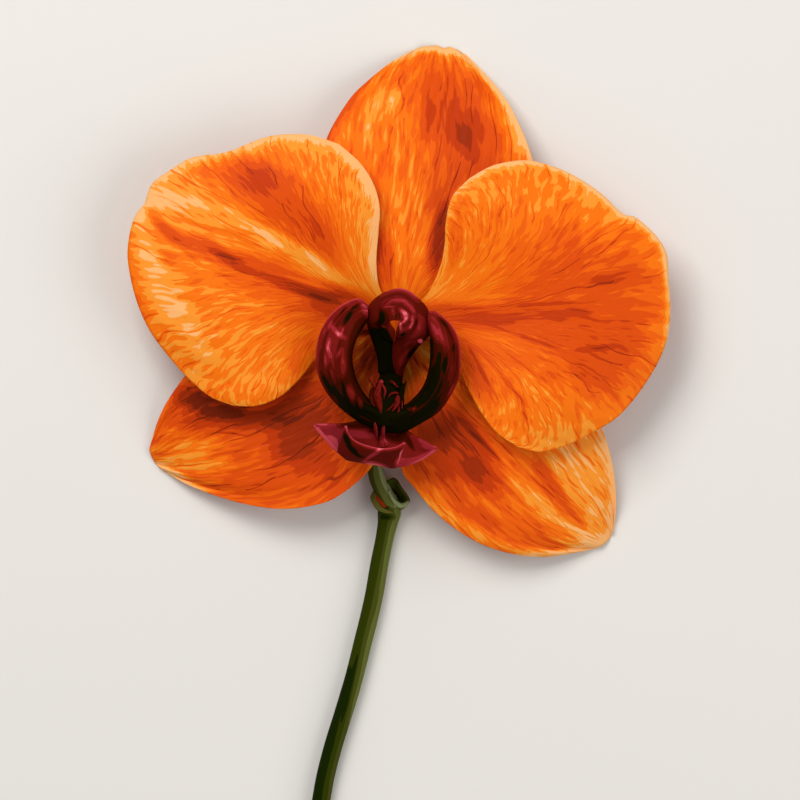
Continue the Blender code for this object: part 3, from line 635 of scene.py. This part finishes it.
# Painted highlights: the pink zigzags and flames on the lobes stand in for their waxy gloss. The entries that
# darken make dark streaks.
lobe_highlights_and_streaks = [
    (-11.9, -0.3, 1, 0.42, 66, 0.28), (-11, -1.2, 1.1, 0.44, -52, 0.3), (-10, -2.1, 0.9, 0.5, -36, 0.3),
    (-9.8, -1.2, 0.7, 0.26, 74, 0.26), (-12.2, -3.5, 1.2, 0.44, 78, 0.28), (-12, -5.1, 1.2, 0.4, 106, 0.26),
    (-12.7, -6.4, 1.2, 0.26, 94, 0.26), (-10.3, -5, 0.9, 0.28, 66, 0.28), (-9.8, -7.4, 1.8, 0.3, 94, 0.28),
    (-6.1, 2.3, 1.4, 0.45, -72, 0.26), (-12.9, -1.2, 1, 0.26, 70, 0.16), (-8.9, 1, 1.5, 0.36, 58, -0.4),
    (-7.5, 3, 0.9, 0.32, 34, -0.36), (-9.6, 2.3, 0.8, 0.22, 50, -0.26),
    (-12.4, -10.6, 2.3, 0.46, 118, -0.36), (-10.6, -12.4, 2, 0.4, 116, -0.36),
    (-9.6, -11, 1.4, 0.26, 106, -0.3), (-8.4, -12.4, 1.7, 0.42, -68, 0.4),
    (-11.4, -9.2, 1.5, 0.3, 105, 0.16), (-6.9, -13.9, 1, 0.24, -62, 0.34), (6.4, -0.9, 1.9, 0.6, -66, 0.12),
    (7.4, -2.2, 1.5, 0.4, -72, 0.12), (7.9, 0.2, 1.2, 0.4, -45, -0.3), (9.6, -4.2, 0.7, 0.26, 80, -0.34),
    (8.2, -6.9, 1.6, 0.36, 80, -0.26), (6.3, -4.4, 2.2, 0.36, 85, -0.34), (9.5, -8.4, 2.4, 0.5, 78, 0.12),
    (9.2, -11.6, 1.4, 0.4, 64, 0.12), (2.4, -15.2, 0.7, 0.2, 20, 0.34), (3.1, -14.9, 0.5, 0.14, 50, 0.34)
]
side_lobes = add_flesh("lip_side_lobes",
                       [lobes_rear, lobes_edge, lobes_cheek, lobes_face, lobes_crest, lobes_inner],
                       380, 90, 0.8, lip_flesh, 0.0, lobe_highlights_and_streaks)

# The pink tones along dish_front paint light reflected at the dish's front margin.
dish_back = [
    (-15.05, -17.8, 19.2, 0.86), (-12.6, -17.8, 18.2, 0.8), (-9.8, -17.8, 17, 0.5),
    (-7.6, -17.4, 16.4, 0.36), (-5.4, -17.2, 16, 0.34), (-3, -17.5, 15.8, 0.3), (-0.8, -18, 15.8, 0.26),
    (1.4, -18.9, 16.2, 0.3), (3.9, -20.4, 17.4, 0.66), (7, -22.1, 19, 0.84)
]
dish_floor = [
    (-15, -17.95, 19.2, 0.7), (-12.8, -18.5, 17.9, 0.69), (-10.4, -19, 16.4, 0.69),
    (-8.2, -19.3, 15.4, 0.69), (-5.8, -19.6, 14.8, 0.67), (-3.2, -20, 14.6, 0.62),
    (-0.8, -20.5, 14.8, 0.46), (1.4, -21.2, 15.6, 0.5), (4, -21.9, 17, 0.6), (6.95, -22.2, 19, 0.76)
]
dish_belly = [
    (-14.7, -18.4, 18.9, 0.7), (-13.2, -19.6, 17.4, 0.74), (-11.3, -21, 16.2, 0.74), (-9.6, -21.9, 15, 0.5),
    (-6.4, -22.4, 14.6, 0.5), (-3.2, -22.9, 14.6, 0.5), (-0.4, -23.3, 15, 0.6), (2, -23.3, 15.8, 0.56),
    (4.6, -22.9, 17, 0.54), (6.8, -22.4, 18.8, 0.64)
]
dish_front = [
    (-15, -17.95, 19.4, 0.84), (-14, -19.3, 18.7, 0.82), (-12.5, -21.1, 17.8, 0.84),
    (-10.7, -22.9, 17, 0.8), (-8.6, -24.3, 16.5, 0.74), (-5.4, -24.9, 16.2, 0.74), (-1.6, -25.5, 16, 0.74),
    (1.4, -25.3, 16.3, 0.78), (4.4, -24.1, 17.4, 0.82), (6.9, -22.35, 19.2, 0.82)
]
# Painted shade under the side lobes and the callus and on the dish's right side, and one lighter patch on the
# left wing.
dish_painted_shade_and_light = [
    (-3.35, -18.8, 1.8, 0.26, 92, -0.7), (-11.6, -20.9, 1.8, 0.8, -52, 0.1), (2.2, -21, 1.8, 0.5, -60, -0.28),
    (-8, -18, 2.6, 0.55, -4, -0.24), (-0.4, -20, 1.9, 1.1, -24, -0.22)
]
dish = add_flesh("lip_dish", [dish_back, dish_floor, dish_belly, dish_front], 150, 70, 0.7,
                 wall_flesh, 1.4, dish_painted_shade_and_light)

# The pink tones along wall_rim paint a highlight on the wall's rim, and wall_lip just below it keeps that
# highlight a thin line.
wall_foot = [
    (-10.6, -22.8, 16.6, 0.62), (-9.2, -24.1, 16.4, 0.44), (-7.4, -24.5, 16.3, 0.44),
    (-5.6, -24.8, 16.2, 0.72), (-4, -25, 16.2, 0.74), (-2.6, -25.3, 16.2, 0.6), (-1.4, -25.6, 16.2, 0.4),
    (-0.5, -25.6, 16.4, 0.5)
]
wall_belly = [
    (-10.6, -22.4, 17.4, 0.44), (-9.7, -22.9, 18.6, 0.38), (-8, -23.7, 18.6, 0.38),
    (-5.6, -24.1, 18.4, 0.4), (-3.6, -24.4, 18.4, 0.4), (-1.8, -24.6, 18.4, 0.4), (-0.6, -24.8, 18, 0.42),
    (-0.2, -25.1, 17.2, 0.6)
]
wall_shade = [
    (-10.4, -21.6, 18.2, 0.44), (-9.6, -20.2, 20.2, 0.4), (-8.2, -21.8, 20.4, 0.36), (-6, -22.6, 20.4, 0.4),
    (-3, -23, 20.4, 0.4), (-0.6, -22.8, 20.4, 0.42), (0.4, -22.7, 20, 0.48), (0, -24.4, 18.2, 0.6)
]
wall_rim = [
    (-10.5, -21.8, 18.4, 0.72), (-9.95, -20, 19.8, 0.72), (-9.4, -18.1, 21, 0.86), (-8.8, -19.6, 21, 0.86),
    (-7.6, -20.8, 21, 0.86), (-5.4, -21.7, 21, 0.86), (-2.8, -22.2, 21.2, 0.86), (-0.4, -21.9, 21, 0.86),
    (1.2, -21.1, 21, 0.86), (0.7, -22.6, 20.2, 0.82), (0.2, -24.2, 18.4, 0.76)
]
wall_lip = [
    (-10.45, -22, 18.2, 0.5), (-9.85, -20.3, 19.8, 0.44), (-9.35, -18.9, 20.8, 0.42),
    (-8.8, -20.1, 20.9, 0.4), (-7.6, -21.25, 20.9, 0.4), (-5.4, -22.15, 20.9, 0.42),
    (-2.8, -22.65, 21.1, 0.42), (-0.4, -22.35, 20.9, 0.44), (0.9, -21.8, 20.9, 0.5),
    (0.5, -22.7, 20.1, 0.66), (0.1, -24.3, 18.3, 0.72)
]
# Painted shade: the near-black patches below the left cusp. Painted highlights: the pink ridge along the fold
# and the pink strips at the foot and the right end.
wall_painted_light_and_shade = [
    (-9, -20.6, 1.5, 0.48, -68, -0.4), (-8, -22.3, 1.2, 0.5, -44, -0.4), (-6.9, -23.3, 0.9, 0.3, -20, -0.3),
    (-4.3, -23, 2.1, 0.36, 32, 0.36), (-4, -24.8, 2.2, 0.55, -13, 0.34), (0.2, -24.3, 1, 0.6, 40, 0.34),
    (0.5, -22.9, 1.1, 0.3, 66, 0.3)
]
wall = add_flesh("lip_front_wall", [wall_foot, wall_belly, wall_shade, wall_lip, wall_rim], 200, 70,
                 0.6, wall_flesh, 2.6, wall_painted_light_and_shade)

callus_mounds = {
    "lip_claw": [
        (-1.4, -10.75, 10.85, 1.9, 1.4, 0.05), (-1.6, -12.8, 11.4, 2.4, 1.7, 0.05),
        (-2, -15.4, 12.8, 3.1, 2.2, 0.05), (-2.5, -17.8, 14.8, 3, 2, 0.05),
        (-2.8, -19.4, 15.6, 2.4, 1.2, 0.4)
    ],
    "lip_callus": [
        (-2.4, -17.4, 15.6, 2.6, 2.9, 0.02), (-2.3, -15.8, 16, 3.3, 2.9, 0.02),
        (-2.1, -14, 16.2, 3.2, 2.5, 0.02), (-1.8, -12.2, 16.1, 2.9, 2, 0.02),
        (-1.5, -10.8, 15.4, 2.4, 1.5, 0.02), (-1.4, -9.3, 14.2, 1.9, 1, 0.02)
    ]
}
callus_teeth = {
    "lip_left_tooth": [
        (-3.1, -16, 18.7, 0.12, 0.15, 0.44), (-3.2, -15, 18.7, 0.42, 0.4, 0.5),
        (-3.5, -13.8, 18.5, 0.7, 0.55, 0.46), (-3.75, -12.6, 18.2, 0.84, 0.6, 0.46),
        (-3.6, -11.5, 17.9, 0.72, 0.55, 0.5), (-3.2, -10.7, 17.9, 0.5, 0.42, 0.56),
        (-3.1, -10.2, 18, 0.5, 0.45, 0.68), (-3.1, -9.85, 18, 0.2, 0.2, 0.68)
    ],
    "lip_left_root": [
        (-4.1, -16.6, 18.2, 0.1, 0.15, 0.34), (-4.3, -15.4, 18.2, 0.4, 0.35, 0.38),
        (-4.6, -13.9, 17.9, 0.5, 0.4, 0.38), (-4.8, -12.4, 17.4, 0.4, 0.4, 0.36),
        (-4.6, -11.3, 17.3, 0.16, 0.2, 0.36)
    ],
    "lip_left_spur": [
        (-4, -11.4, 17.8, 0.26, 0.25, 0.5), (-4.4, -10.7, 18, 0.3, 0.25, 0.54),
        (-4.95, -10, 18.2, 0.24, 0.2, 0.5), (-5.4, -9.2, 18.2, 0.08, 0.06, 0.46)
    ],
    "lip_left_hook": [
        (-2.9, -10.8, 18.3, 0.22, 0.22, 0.6), (-2.45, -11.35, 18.5, 0.26, 0.24, 0.6),
        (-2.3, -12.1, 18.7, 0.22, 0.2, 0.56), (-2.5, -12.8, 18.8, 0.15, 0.15, 0.5),
        (-2.5, -13.4, 18.8, 0.05, 0.05, 0.4)
    ],
    "lip_curl": [
        (-1.65, -10.15, 17.9, 0.06, 0.08, 0.44), (-1.2, -10.2, 18.1, 0.2, 0.18, 0.46),
        (-0.7, -10.55, 18.2, 0.22, 0.2, 0.48), (-0.3, -11, 18.2, 0.16, 0.15, 0.46),
        (0.15, -11.2, 18.1, 0.05, 0.05, 0.44)
    ],
    "lip_right_tooth": [
        (0.3, -14.6, 17.6, 0.4, 0.4, 0.1), (0.45, -13.2, 17.9, 0.5, 0.45, 0.1),
        (0.75, -11.9, 18.2, 0.5, 0.45, 0.04), (1.05, -11, 18.5, 0.33, 0.33, 0.04),
        (1.45, -10.2, 18.8, 0.08, 0.08, 0.04)
    ],
    "lip_right_arch": [
        (-1.7, -13.1, 18.7, 0.06, 0.08, 0.42), (-1.4, -12.5, 18.5, 0.2, 0.18, 0.42),
        (-0.8, -12.2, 18.3, 0.24, 0.2, 0.44), (-0.1, -12.3, 18.1, 0.2, 0.2, 0.44),
        (0.3, -12.8, 17.9, 0.08, 0.1, 0.42)
    ],
    "lip_right_pad": [
        (-0.1, -12.6, 18.3, 0.22, 0.2, 0.46), (-0.1, -13.3, 18.3, 0.5, 0.35, 0.48),
        (-0.2, -14.1, 18.4, 0.5, 0.35, 0.48), (-0.6, -14.9, 18.6, 0.32, 0.3, 0.48),
        (-1.1, -15.6, 18.7, 0.07, 0.1, 0.46)
    ],
    "lip_right_root": [
        (-0.7, -14, 18.5, 0.08, 0.1, 0.42), (-1.1, -14.6, 18.7, 0.18, 0.16, 0.44),
        (-1.6, -15.1, 18.8, 0.15, 0.15, 0.44), (-2.1, -15.5, 18.9, 0.05, 0.05, 0.42)
    ],
    "lip_right_ridge": [
        (0.2, -14.6, 18.2, 0.1, 0.12, 0.44), (0.1, -15.5, 18.4, 0.24, 0.2, 0.5),
        (-0.3, -16.3, 18.6, 0.2, 0.18, 0.5), (-0.8, -17, 18.6, 0.06, 0.06, 0.44)
    ],
    "lip_right_rim": [
        (0.62, -12.4, 17.9, 0.05, 0.05, 0.66), (0.78, -13.6, 17.9, 0.09, 0.09, 0.7),
        (0.72, -14.8, 18, 0.09, 0.09, 0.7), (0.6, -15.8, 18.1, 0.04, 0.04, 0.66)
    ],
    "lip_left_keel": [
        (-4.15, -17.5, 17.9, 0.1, 0.1, 0.62), (-4.1, -18, 17.7, 0.28, 0.25, 0.66),
        (-4, -18.8, 17, 0.34, 0.3, 0.68), (-3.9, -19.6, 16, 0.32, 0.3, 0.66),
        (-3.8, -20.4, 15.3, 0.16, 0.2, 0.62)
    ],
    "lip_right_keel": [
        (-2.55, -17.7, 17.9, 0.1, 0.1, 0.66), (-2.6, -18.3, 17.6, 0.3, 0.25, 0.7),
        (-2.7, -19.1, 16.9, 0.36, 0.3, 0.7), (-2.8, -19.9, 15.9, 0.44, 0.3, 0.72),
        (-2.85, -20.6, 15.3, 0.62, 0.25, 0.76), (-2.7, -21.3, 15, 0.95, 0.2, 0.72),
        (-2.5, -21.9, 14.9, 1.15, 0.15, 0.66)
    ]
}
callus = [add_stalk(name, stations, 60, 60, wall_flesh, 3.0 + GRAIN_STEP * index)
          for index, (name, stations) in enumerate(callus_mounds.items())]
callus += [add_stalk(name, stations, 20, 60, lip_flesh, 4.1 + GRAIN_STEP * index,
                     [-0.26, -0.1, -0.02, 0.02])
           for index, (name, stations) in enumerate(callus_teeth.items())]
for piece in [side_lobes, dish, wall] + callus:
    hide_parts("lip")


# ---- Column, anther cap and pollinarium ----
# A short maroon column. Its hood arches over the domed crimson anther cap, and the amber pollinarium
# shows at the cap's beak. The dark hollow below the cap is painted shade on the cap and the hood.

column_flesh = crimson_flesh("column_flesh", ((5.0, 6.0, 0.14), (12.0, 11.0, 0.12)), 0.5)
# Painted shade: body and foot are toned near-black, the shade under the hood and the lip.
body = add_stalk("column_body", [
    (0, 0, 7.95, 2.3, 2.3, 0.1), (0, 0.1, 10.4, 2.3, 2.3, 0.1), (0, 0.5, 12.6, 3.4, 3.2, 0.1),
    (0.1, 0.8, 14.6, 4.4, 4.2, 0.1), (0.1, 1, 16.4, 4.5, 4.4, 0.05), (0.1, 1.2, 17.6, 3.6, 3.6, 0.05)
], 48, 50, column_flesh, 4.0)
foot = add_stalk("column_foot", [
    (-0.3, 0.5, 14.6, 4.7, 2.6, 0.03), (-0.6, -2.4, 14.1, 4, 2.4, 0.03), (-1, -5, 12.9, 2.8, 2, 0.03),
    (-1.15, -7.6, 11.8, 2.3, 1.7, 0.03), (-1.2, -9.2, 11.2, 2.1, 1.5, 0.03),
    (-1.3, -10.1, 10.95, 2, 1.5, 0.03)
], 40, 50, column_flesh, 4.5, [0.0, 0.0, 0.0, 0.04, 0.2])
# Painted highlight: the pink tones at the top of hood_edge light the hood's rim, and hood_back, its
# underside, is kept below them. Painted shade: the near-black at the left-hand lower ends of the rails.
hood_base = [
    (-3, -8.4, 12, 0.03), (-3.3, -6, 12.6, 0.03), (-3.8, -3.6, 12.9, 0.03), (-3.9, -1, 12.6, 0.2),
    (-3.95, 1, 12.6, 0.3), (-3.6, 2.5, 12.7, 0.3), (-2.6, 3.7, 12.8, 0.3), (-1.2, 4.3, 12.8, 0.3),
    (0.2, 4.5, 12.8, 0.3), (1.4, 4.2, 12.8, 0.3), (2.4, 3.7, 12.8, 0.3), (3.4, 2.8, 12.8, 0.3),
    (3.9, 1.7, 12.8, 0.3), (4.1, 0.2, 12.9, 0.3), (4.1, -1.5, 13.2, 0.3), (3.3, -3.2, 13.3, 0.3),
    (2, -5.2, 12.9, 0.2), (0.8, -7.2, 12.2, 0.2), (0.3, -9.2, 11.6, 0.1)
]
hood_edge = [
    (-3.3, -8.6, 12.8, 0.03), (-3.4, -6.2, 13.6, 0.03), (-4.1, -3.6, 14.8, 0.03), (-5, -1, 16.4, 0.1),
    (-5.4, 1.2, 17.4, 0.4), (-5, 3.2, 18, 0.42), (-3.4, 4.9, 18.4, 0.42), (-1.6, 5.8, 18.6, 0.66),
    (0.2, 6.2, 18.6, 0.84), (1.8, 5.8, 18.5, 0.86), (3, 4.9, 18.3, 0.82), (4.4, 3.6, 18.1, 0.42),
    (5.2, 2.2, 17.9, 0.4), (5.5, 0.2, 17.6, 0.44), (5.4, -1.7, 17.2, 0.44), (3.8, -3.4, 16.4, 0.4),
    (2.3, -5.4, 15.4, 0.3), (1, -7.4, 14.4, 0.36), (0.35, -9.4, 13, 0.3)
]
HOOD_TUCK, HOOD_DROP, HOOD_BACK_TONE = 0.97, 1.3, 0.4
hood_back = [(HOOD_TUCK * x, HOOD_TUCK * y, z - HOOD_DROP, min(tone, HOOD_BACK_TONE))
             for x, y, z, tone in hood_edge]
hood_crown = [
    (-2.9, -8.6, 13, 0.03), (-3, -6.2, 13.9, 0.03), (-3.6, -3.6, 15.3, 0.03), (-4.4, -1, 17.4, 0.06),
    (-4.5, 1, 19.4, 0.42), (-4.1, 3, 20.2, 0.42), (-2.8, 4.3, 20.6, 0.42), (-1.3, 5.1, 20.8, 0.42),
    (0.2, 5.45, 20.8, 0.44), (1.6, 4.95, 20.8, 0.44), (2.8, 4, 20.6, 0.42), (3.8, 2.7, 20.4, 0.36),
    (4.3, 1, 20, 0.5), (4.6, -0.8, 19.4, 0.62), (4.4, -1.9, 18.6, 0.6), (3, -3.4, 17.4, 0.46),
    (1.8, -5.3, 16.2, 0.44), (0.7, -7.3, 15, 0.44), (0.25, -9.3, 13.4, 0.34)
]
hood_inner = [
    (-2.3, -8.6, 13, 0.03), (-2.4, -6.2, 13.8, 0.03), (-2.8, -3.6, 15, 0.03), (-3.4, -1, 17.2, 0.03),
    (-3.5, 0.9, 19.8, 0.3), (-3.3, 2.6, 20.4, 0.42), (-2.3, 3.9, 20.7, 0.5), (-1, 4.6, 20.8, 0.56),
    (0.2, 4.8, 20.9, 0.56), (1.5, 4.3, 20.8, 0.56), (2.6, 3.3, 20.7, 0.5), (3.2, 2.1, 20.5, 0.46),
    (3.6, 0.9, 20.2, 0.6), (3.4, -0.6, 19.9, 0.64), (2.4, -2.1, 19.3, 0.5), (0.6, -2.9, 18.4, 0.44),
    (0.2, -5.2, 16.6, 0.44), (0.1, -7.3, 15.1, 0.44), (0.1, -9.3, 13.4, 0.34)
]
hood_fold = [
    (-1.8, -8.6, 12.4, 0.02), (-1.8, -6.2, 13.2, 0.02), (-2, -3.6, 14.2, 0.02), (-2.4, -1, 15.6, 0.02),
    (-2.6, 0.9, 18.6, 0.2), (-2.4, 2, 19.6, 0.4), (-1.6, 3, 20, 0.5), (-0.7, 3.5, 20.2, 0.55),
    (0.2, 3.7, 20.3, 0.55), (1.1, 3.3, 20.2, 0.55), (1.9, 2.5, 20, 0.5), (2.4, 1.6, 19.8, 0.5),
    (2.6, 0.8, 19.6, 0.5), (2.4, -0.4, 19.4, 0.5), (1.2, -1.6, 19.2, 0.44), (-0.6, -2.6, 17.8, 0.42),
    (-0.9, -5.2, 15.4, 0.4), (-0.7, -7.3, 14.2, 0.36), (-0.1, -9.3, 12.9, 0.24)
]
hood = add_flesh("column_hood", [hood_base, hood_back, hood_edge, hood_crown, hood_inner, hood_fold],
                 260, 72, 0.6, column_flesh, 5.0,
                 [(2.2, -4.8, 1.5, 0.3, 54, -0.44), (-3.9, -0.1, 0.9, 0.14, -30, 0.24)])
# Painted highlight: the wing's pink tones light this small tooth.
wing = add_stalk("column_wing", [
    (3.3, -2.2, 17.5, 0.3, 0.25, 0.6), (3.8, -2.6, 18.1, 0.46, 0.4, 0.84), (4.1, -3, 18.1, 0.46, 0.4, 0.86),
    (4.3, -3.4, 17.8, 0.12, 0.12, 0.7)
], 24, 30, column_flesh, 5.6)
for piece in (body, foot, hood, wing):
    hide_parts("column")

cap_flesh = crimson_flesh("cap_flesh", ((3.0, 3.0, 0.14),), 0.45, (1.0, 0.5, 0.55, 1.0))
# Painted highlights: the pink arch along the top, the pink C and strips on the right, and the thin light line
# at the lower left. Painted shade: the flat dark left half and the near-black lower left over the hollow
# below the cap.
cap_highlights_and_shade = [
    (-2, 3.9, 1.5, 0.45, 44, 0.2), (0.1, 4.5, 1.7, 0.5, -2, 0.24), (1.9, 3.5, 1.6, 0.5, -44, 0.2),
    (2.9, 2.1, 1.3, 0.45, -68, 0.16), (-2.4, 1.1, 1.9, 1.1, 90, -0.16), (-2.9, 1.25, 1.25, 0.6, 90, -0.4),
    (-2.9, -0.3, 0.8, 0.13, -12, 0.46), (-1.6, 3.2, 1, 0.11, 6, 0.3), (-0.9, 2.4, 0.6, 0.3, 100, 0.2),
    (-0.3, 1.5, 0.55, 0.18, 84, -0.34), (0.25, 1.5, 0.6, 0.18, 100, -0.3), (0.9, 2.35, 0.8, 0.42, -34, 0.4),
    (1.4, 1.6, 0.75, 0.6, -70, 0.38), (1.3, 0.8, 0.6, 0.34, 60, 0.32), (0.75, 0.35, 0.5, 0.24, 40, 0.3),
    (0.4, -0.3, 1, 0.36, -80, 0.4), (2.6, 0.9, 0.8, 0.34, 92, 0.38), (2.3, -0.2, 0.6, 0.3, 60, 0.38),
    (1.6, -0.7, 0.8, 0.28, 10, 0.14), (0.9, -1.75, 0.55, 0.26, 30, -0.5), (1.8, -2, 1.4, 0.45, 4, -0.16),
    (-2.6, -1.5, 1.4, 0.85, -38, -0.6), (3.25, 0.3, 1.1, 0.18, 90, -0.18)
]
cap = add_stalk("anther_cap", [
    (0.1, 1.3, 18.8, 3, 3, 0.36), (0.1, 1.3, 19.8, 3.3, 3.4, 0.4), (0.1, 1.35, 20.7, 3.4, 3.55, 0.42),
    (0.1, 1.3, 21.4, 3, 3.1, 0.44), (0.1, 1.2, 22, 2.3, 2.4, 0.44), (0.1, 1.1, 22.45, 1.4, 1.5, 0.44),
    (0.1, 1.1, 22.65, 0.3, 0.3, 0.44)
], 96, 100, cap_flesh, 6.0, patches=cap_highlights_and_shade)
beak = add_stalk("anther_beak", [
    (-0.5, 0.3, 22.1, 0.9, 0.4, 0.38), (-0.85, -0.8, 21.9, 0.95, 0.5, 0.36),
    (-0.85, -1.8, 21.4, 0.64, 0.4, 0.36), (-0.78, -2.6, 20.9, 0.28, 0.25, 0.36),
    (-0.75, -3.15, 20.6, 0.06, 0.06, 0.36)
], 40, 50, cap_flesh, 6.5, [-0.04, 0.0, 0.0, 0.06])
for piece in (cap, beak):
    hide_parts("anther_cap")

amber = streaked_flesh("amber", palette((116, 34, 10), (164, 60, 12), (178, 70, 14)),
                       (0.3, 0.6), ((4.0, 4.0, 0.2),), 0.35, (1.0, 0.8, 0.6, 1.0))
pollinia = add_stalk("pollinia", [
    (-0.62, 0.76, 22.75, 0.1, 0.08, 0.5), (-0.62, 0.62, 22.8, 0.78, 0.18, 0.6),
    (-0.6, 0.2, 22.8, 0.7, 0.28, 0.6), (-0.5, -0.4, 22.75, 0.44, 0.28, 0.6),
    (-0.42, -0.95, 22.6, 0.2, 0.2, 0.5), (-0.44, -1.3, 22.45, 0.08, 0.12, 0.3),
    (-0.52, -2.1, 21.9, 0.06, 0.1, 0.3), (-0.62, -2.8, 21.3, 0.05, 0.08, 0.3)
], 24, 80, amber, 7.0)
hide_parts("pollinarium")


# ---- Pedicel, stem and bracts ----
# Firm green stalks with long darker bands. The pedicel bends down behind the sepals to the node,
# where a pocket-like sheath and a small olive scale clasp it above the stem.

GREENS = palette((28, 38, 4), (50, 57, 10), (69, 73, 27), (97, 103, 50), (140, 152, 104))
OLIVES = palette((60, 60, 12), (98, 94, 45), (120, 100, 40))
RUSTS = palette((80, 44, 14), (150, 54, 20), (176, 66, 24))
GREEN_SHEEN = (1.0, 1.0, 0.9, 1.0)
green_flesh = streaked_flesh("green_flesh", GREENS, (0.2, 0.45, 0.65, 0.85),
                             ((7.0, 3.0, 0.22), (15.0, 6.0, 0.18)), 0.5, GREEN_SHEEN)
olive_flesh = streaked_flesh("olive_flesh", OLIVES, (0.4, 0.7), ((5.0, 4.0, 0.2),), 0.5, GREEN_SHEEN)
lining_flesh = streaked_flesh("lining_flesh", RUSTS, (0.3, 0.75), ((5.0, 4.0, 0.2),), 0.5,
                              (1.0, 0.9, 0.8, 1.0))
# Painted highlight: its side tones lighten it from left to right, a light strip along its right side.
pedicel = add_stalk("pedicel", [
    (-1, -33, 2.4, 1.7, 1.7, 0.1), (-1.5, -32, 2.5, 1.6, 1.6, 0.1), (-2.3, -30.6, 2.6, 1.5, 1.5, 0.1),
    (-3.1, -29, 2.7, 1.55, 1.4, 0.1), (-3.8, -27.2, 2.9, 1.5, 1.35, 0.1),
    (-4.35, -24.4, 3.2, 1.35, 1.3, 0.1), (-4.7, -20, 3.5, 1.3, 1.3, 0.1), (-4.4, -16, 3.8, 1.3, 1.3, 0.1),
    (-3.4, -11.5, 4.1, 1.35, 1.35, 0.1), (-2, -7, 4.5, 1.5, 1.5, 0.1), (-0.9, -3.6, 5.1, 1.7, 1.7, 0.1),
    (-0.2, -1.2, 6.2, 2.4, 2.2, 0.1), (0, -0.2, 7.2, 3.3, 3.2, 0.1), (0, -0.2, 7.5, 3.4, 3.4, 0.1)
], 36, 120, green_flesh, 8.0, [0.46, 0.52, 0.6, 0.68, 0.9, 1.0])
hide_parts("pedicel")

STEM_RADIUS = 1.65
stem_route = [
    (-15.5, -95), (-14, -86.5), (-13.1, -81.5), (-11.7, -76), (-9.9, -70.2), (-7.9, -63.5), (-6.3, -57.1),
    (-5.3, -53.1), (-4.3, -48.6), (-3.4, -43.4), (-2.5, -39)
]
stem_top = [(-1.9, -36, 1.8), (-1.6, -34.2, 2.1), (-1.5, -33.4, 2.1), (-1.4, -32.6, 1.9)]
stem_rings = [(x, y, STEM_RADIUS) for x, y in stem_route] + stem_top
# Painted shadow: the first entry darkens the stem under the olive scale, and the others are darker bands.
# Painted highlight: the side tones lighten the stem's right side.
stem_bands_and_shadow = [
    (-1.9, -34.6, 1.3, 0.5, 0, -0.4), (-12.9, -84, 17, 3.4, 78, -0.26),
    (-8.6, -65.2, 7, 0.46, 77, -0.28), (-10.5, -67.5, 8, 0.75, 74, -0.24)
]
stem = add_stalk("stem", [(x, y, radius, radius, radius, 0.1) for x, y, radius in stem_rings],
                 40, 220, green_flesh, 9.0, [0.24, 0.22, 0.27, 0.45, 0.6, 0.76], stem_bands_and_shadow)
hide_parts("stem")

# Painted shade: the tones fall towards sheath_floor, the shaded depth of the pocket, while sheath_rim is
# pale.
sheath_skirt = [
    (-1.9, -29, 1.8, 0.4), (-0.6, -28.6, 1.8, 0.4), (0.6, -30, 1.8, 0.45), (1.4, -31.3, 1.8, 0.4),
    (1.4, -32.2, 1.8, 0.4), (0.9, -33, 2.2, 0.5), (0.1, -33.3, 2.8, 0.5), (-0.7, -32.6, 3.4, 0.5),
    (-1.3, -31.2, 3.6, 0.5)
]
sheath_rim = [
    (-2.2, -28.4, 3.4, 0.5), (-0.7, -27.7, 3.8, 0.5), (0.6, -29.4, 4, 0.5), (1.9, -31.3, 4, 0.6),
    (1.75, -31.95, 4.1, 0.93), (0.65, -32.5, 4.3, 0.95), (-0.3, -32, 4.4, 0.95), (-1, -31.2, 4.4, 0.95),
    (-1.7, -29.8, 4.1, 0.95)
]
sheath_waist = [
    (-2, -28.9, 2.6, 0.56), (-0.6, -28.7, 2.6, 0.56), (0.3, -29.9, 2.6, 0.54), (1.2, -31.1, 2.6, 0.5),
    (1.2, -31.8, 2.6, 0.45), (0.7, -32.1, 2.8, 0.48), (0, -31.8, 2.8, 0.52), (-0.7, -31.1, 2.8, 0.52),
    (-1.6, -30.1, 2.8, 0.48)
]
sheath_floor = [
    (-1.7, -29.9, 1.4, 0.3), (-1, -30.1, 1.2, 0.3), (-0.4, -30.5, 1.2, 0.26), (0.1, -31, 1.2, 0.26),
    (0.2, -31.15, 1.2, 0.26), (0.1, -31.2, 1.2, 0.26), (-0.5, -30.9, 1.2, 0.26), (-1, -30.5, 1.3, 0.26),
    (-1.6, -30.1, 1.4, 0.28)
]
sheath = add_flesh("bract_right", [sheath_skirt, sheath_rim, sheath_waist, sheath_floor], 120, 40,
                   0.45, green_flesh, 10.0)
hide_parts("bract_right")
scale_edge = [
    (-4.3, -29.7, 2.4, 0.55), (-4.95, -31.1, 3, 0.6), (-4.5, -32.2, 3.4, 0.55), (-3.75, -33.3, 3.7, 0.5),
    (-2.4, -33.8, 4.1, 0.55), (-0.9, -33.9, 4.3, 0.6)
]
scale_fold = [
    (-3.9, -30.1, 2.8, 0.6), (-4, -31.2, 3.6, 0.6), (-3.6, -32, 4, 0.6), (-2.9, -32.8, 4.2, 0.6),
    (-1.8, -33.4, 4.4, 0.6), (-0.9, -33.7, 4.4, 0.6)
]
scale = add_flesh("bract_left", [scale_edge, scale_fold], 60, 14, 0.4, olive_flesh, 11.0)
lining_edge = [(-4, -30.4, 2.9, 0.4), (-4, -31.2, 3.5, 0.5), (-3.5, -32, 3.9, 0.5), (-2.6, -32.9, 4.2, 0.4)]
lining_fold = [(-3.8, -30.2, 2.7, 0.3), (-3.2, -31, 3.1, 0.5), (-2.7, -31.8, 3.5, 0.5), (-2.1, -32.8, 4, 0.3)]
lining = add_flesh("bract_lining", [lining_edge, lining_fold], 40, 12, 0.3, lining_flesh, 12.0)
for piece in (scale, lining):
    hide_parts("bract_left")
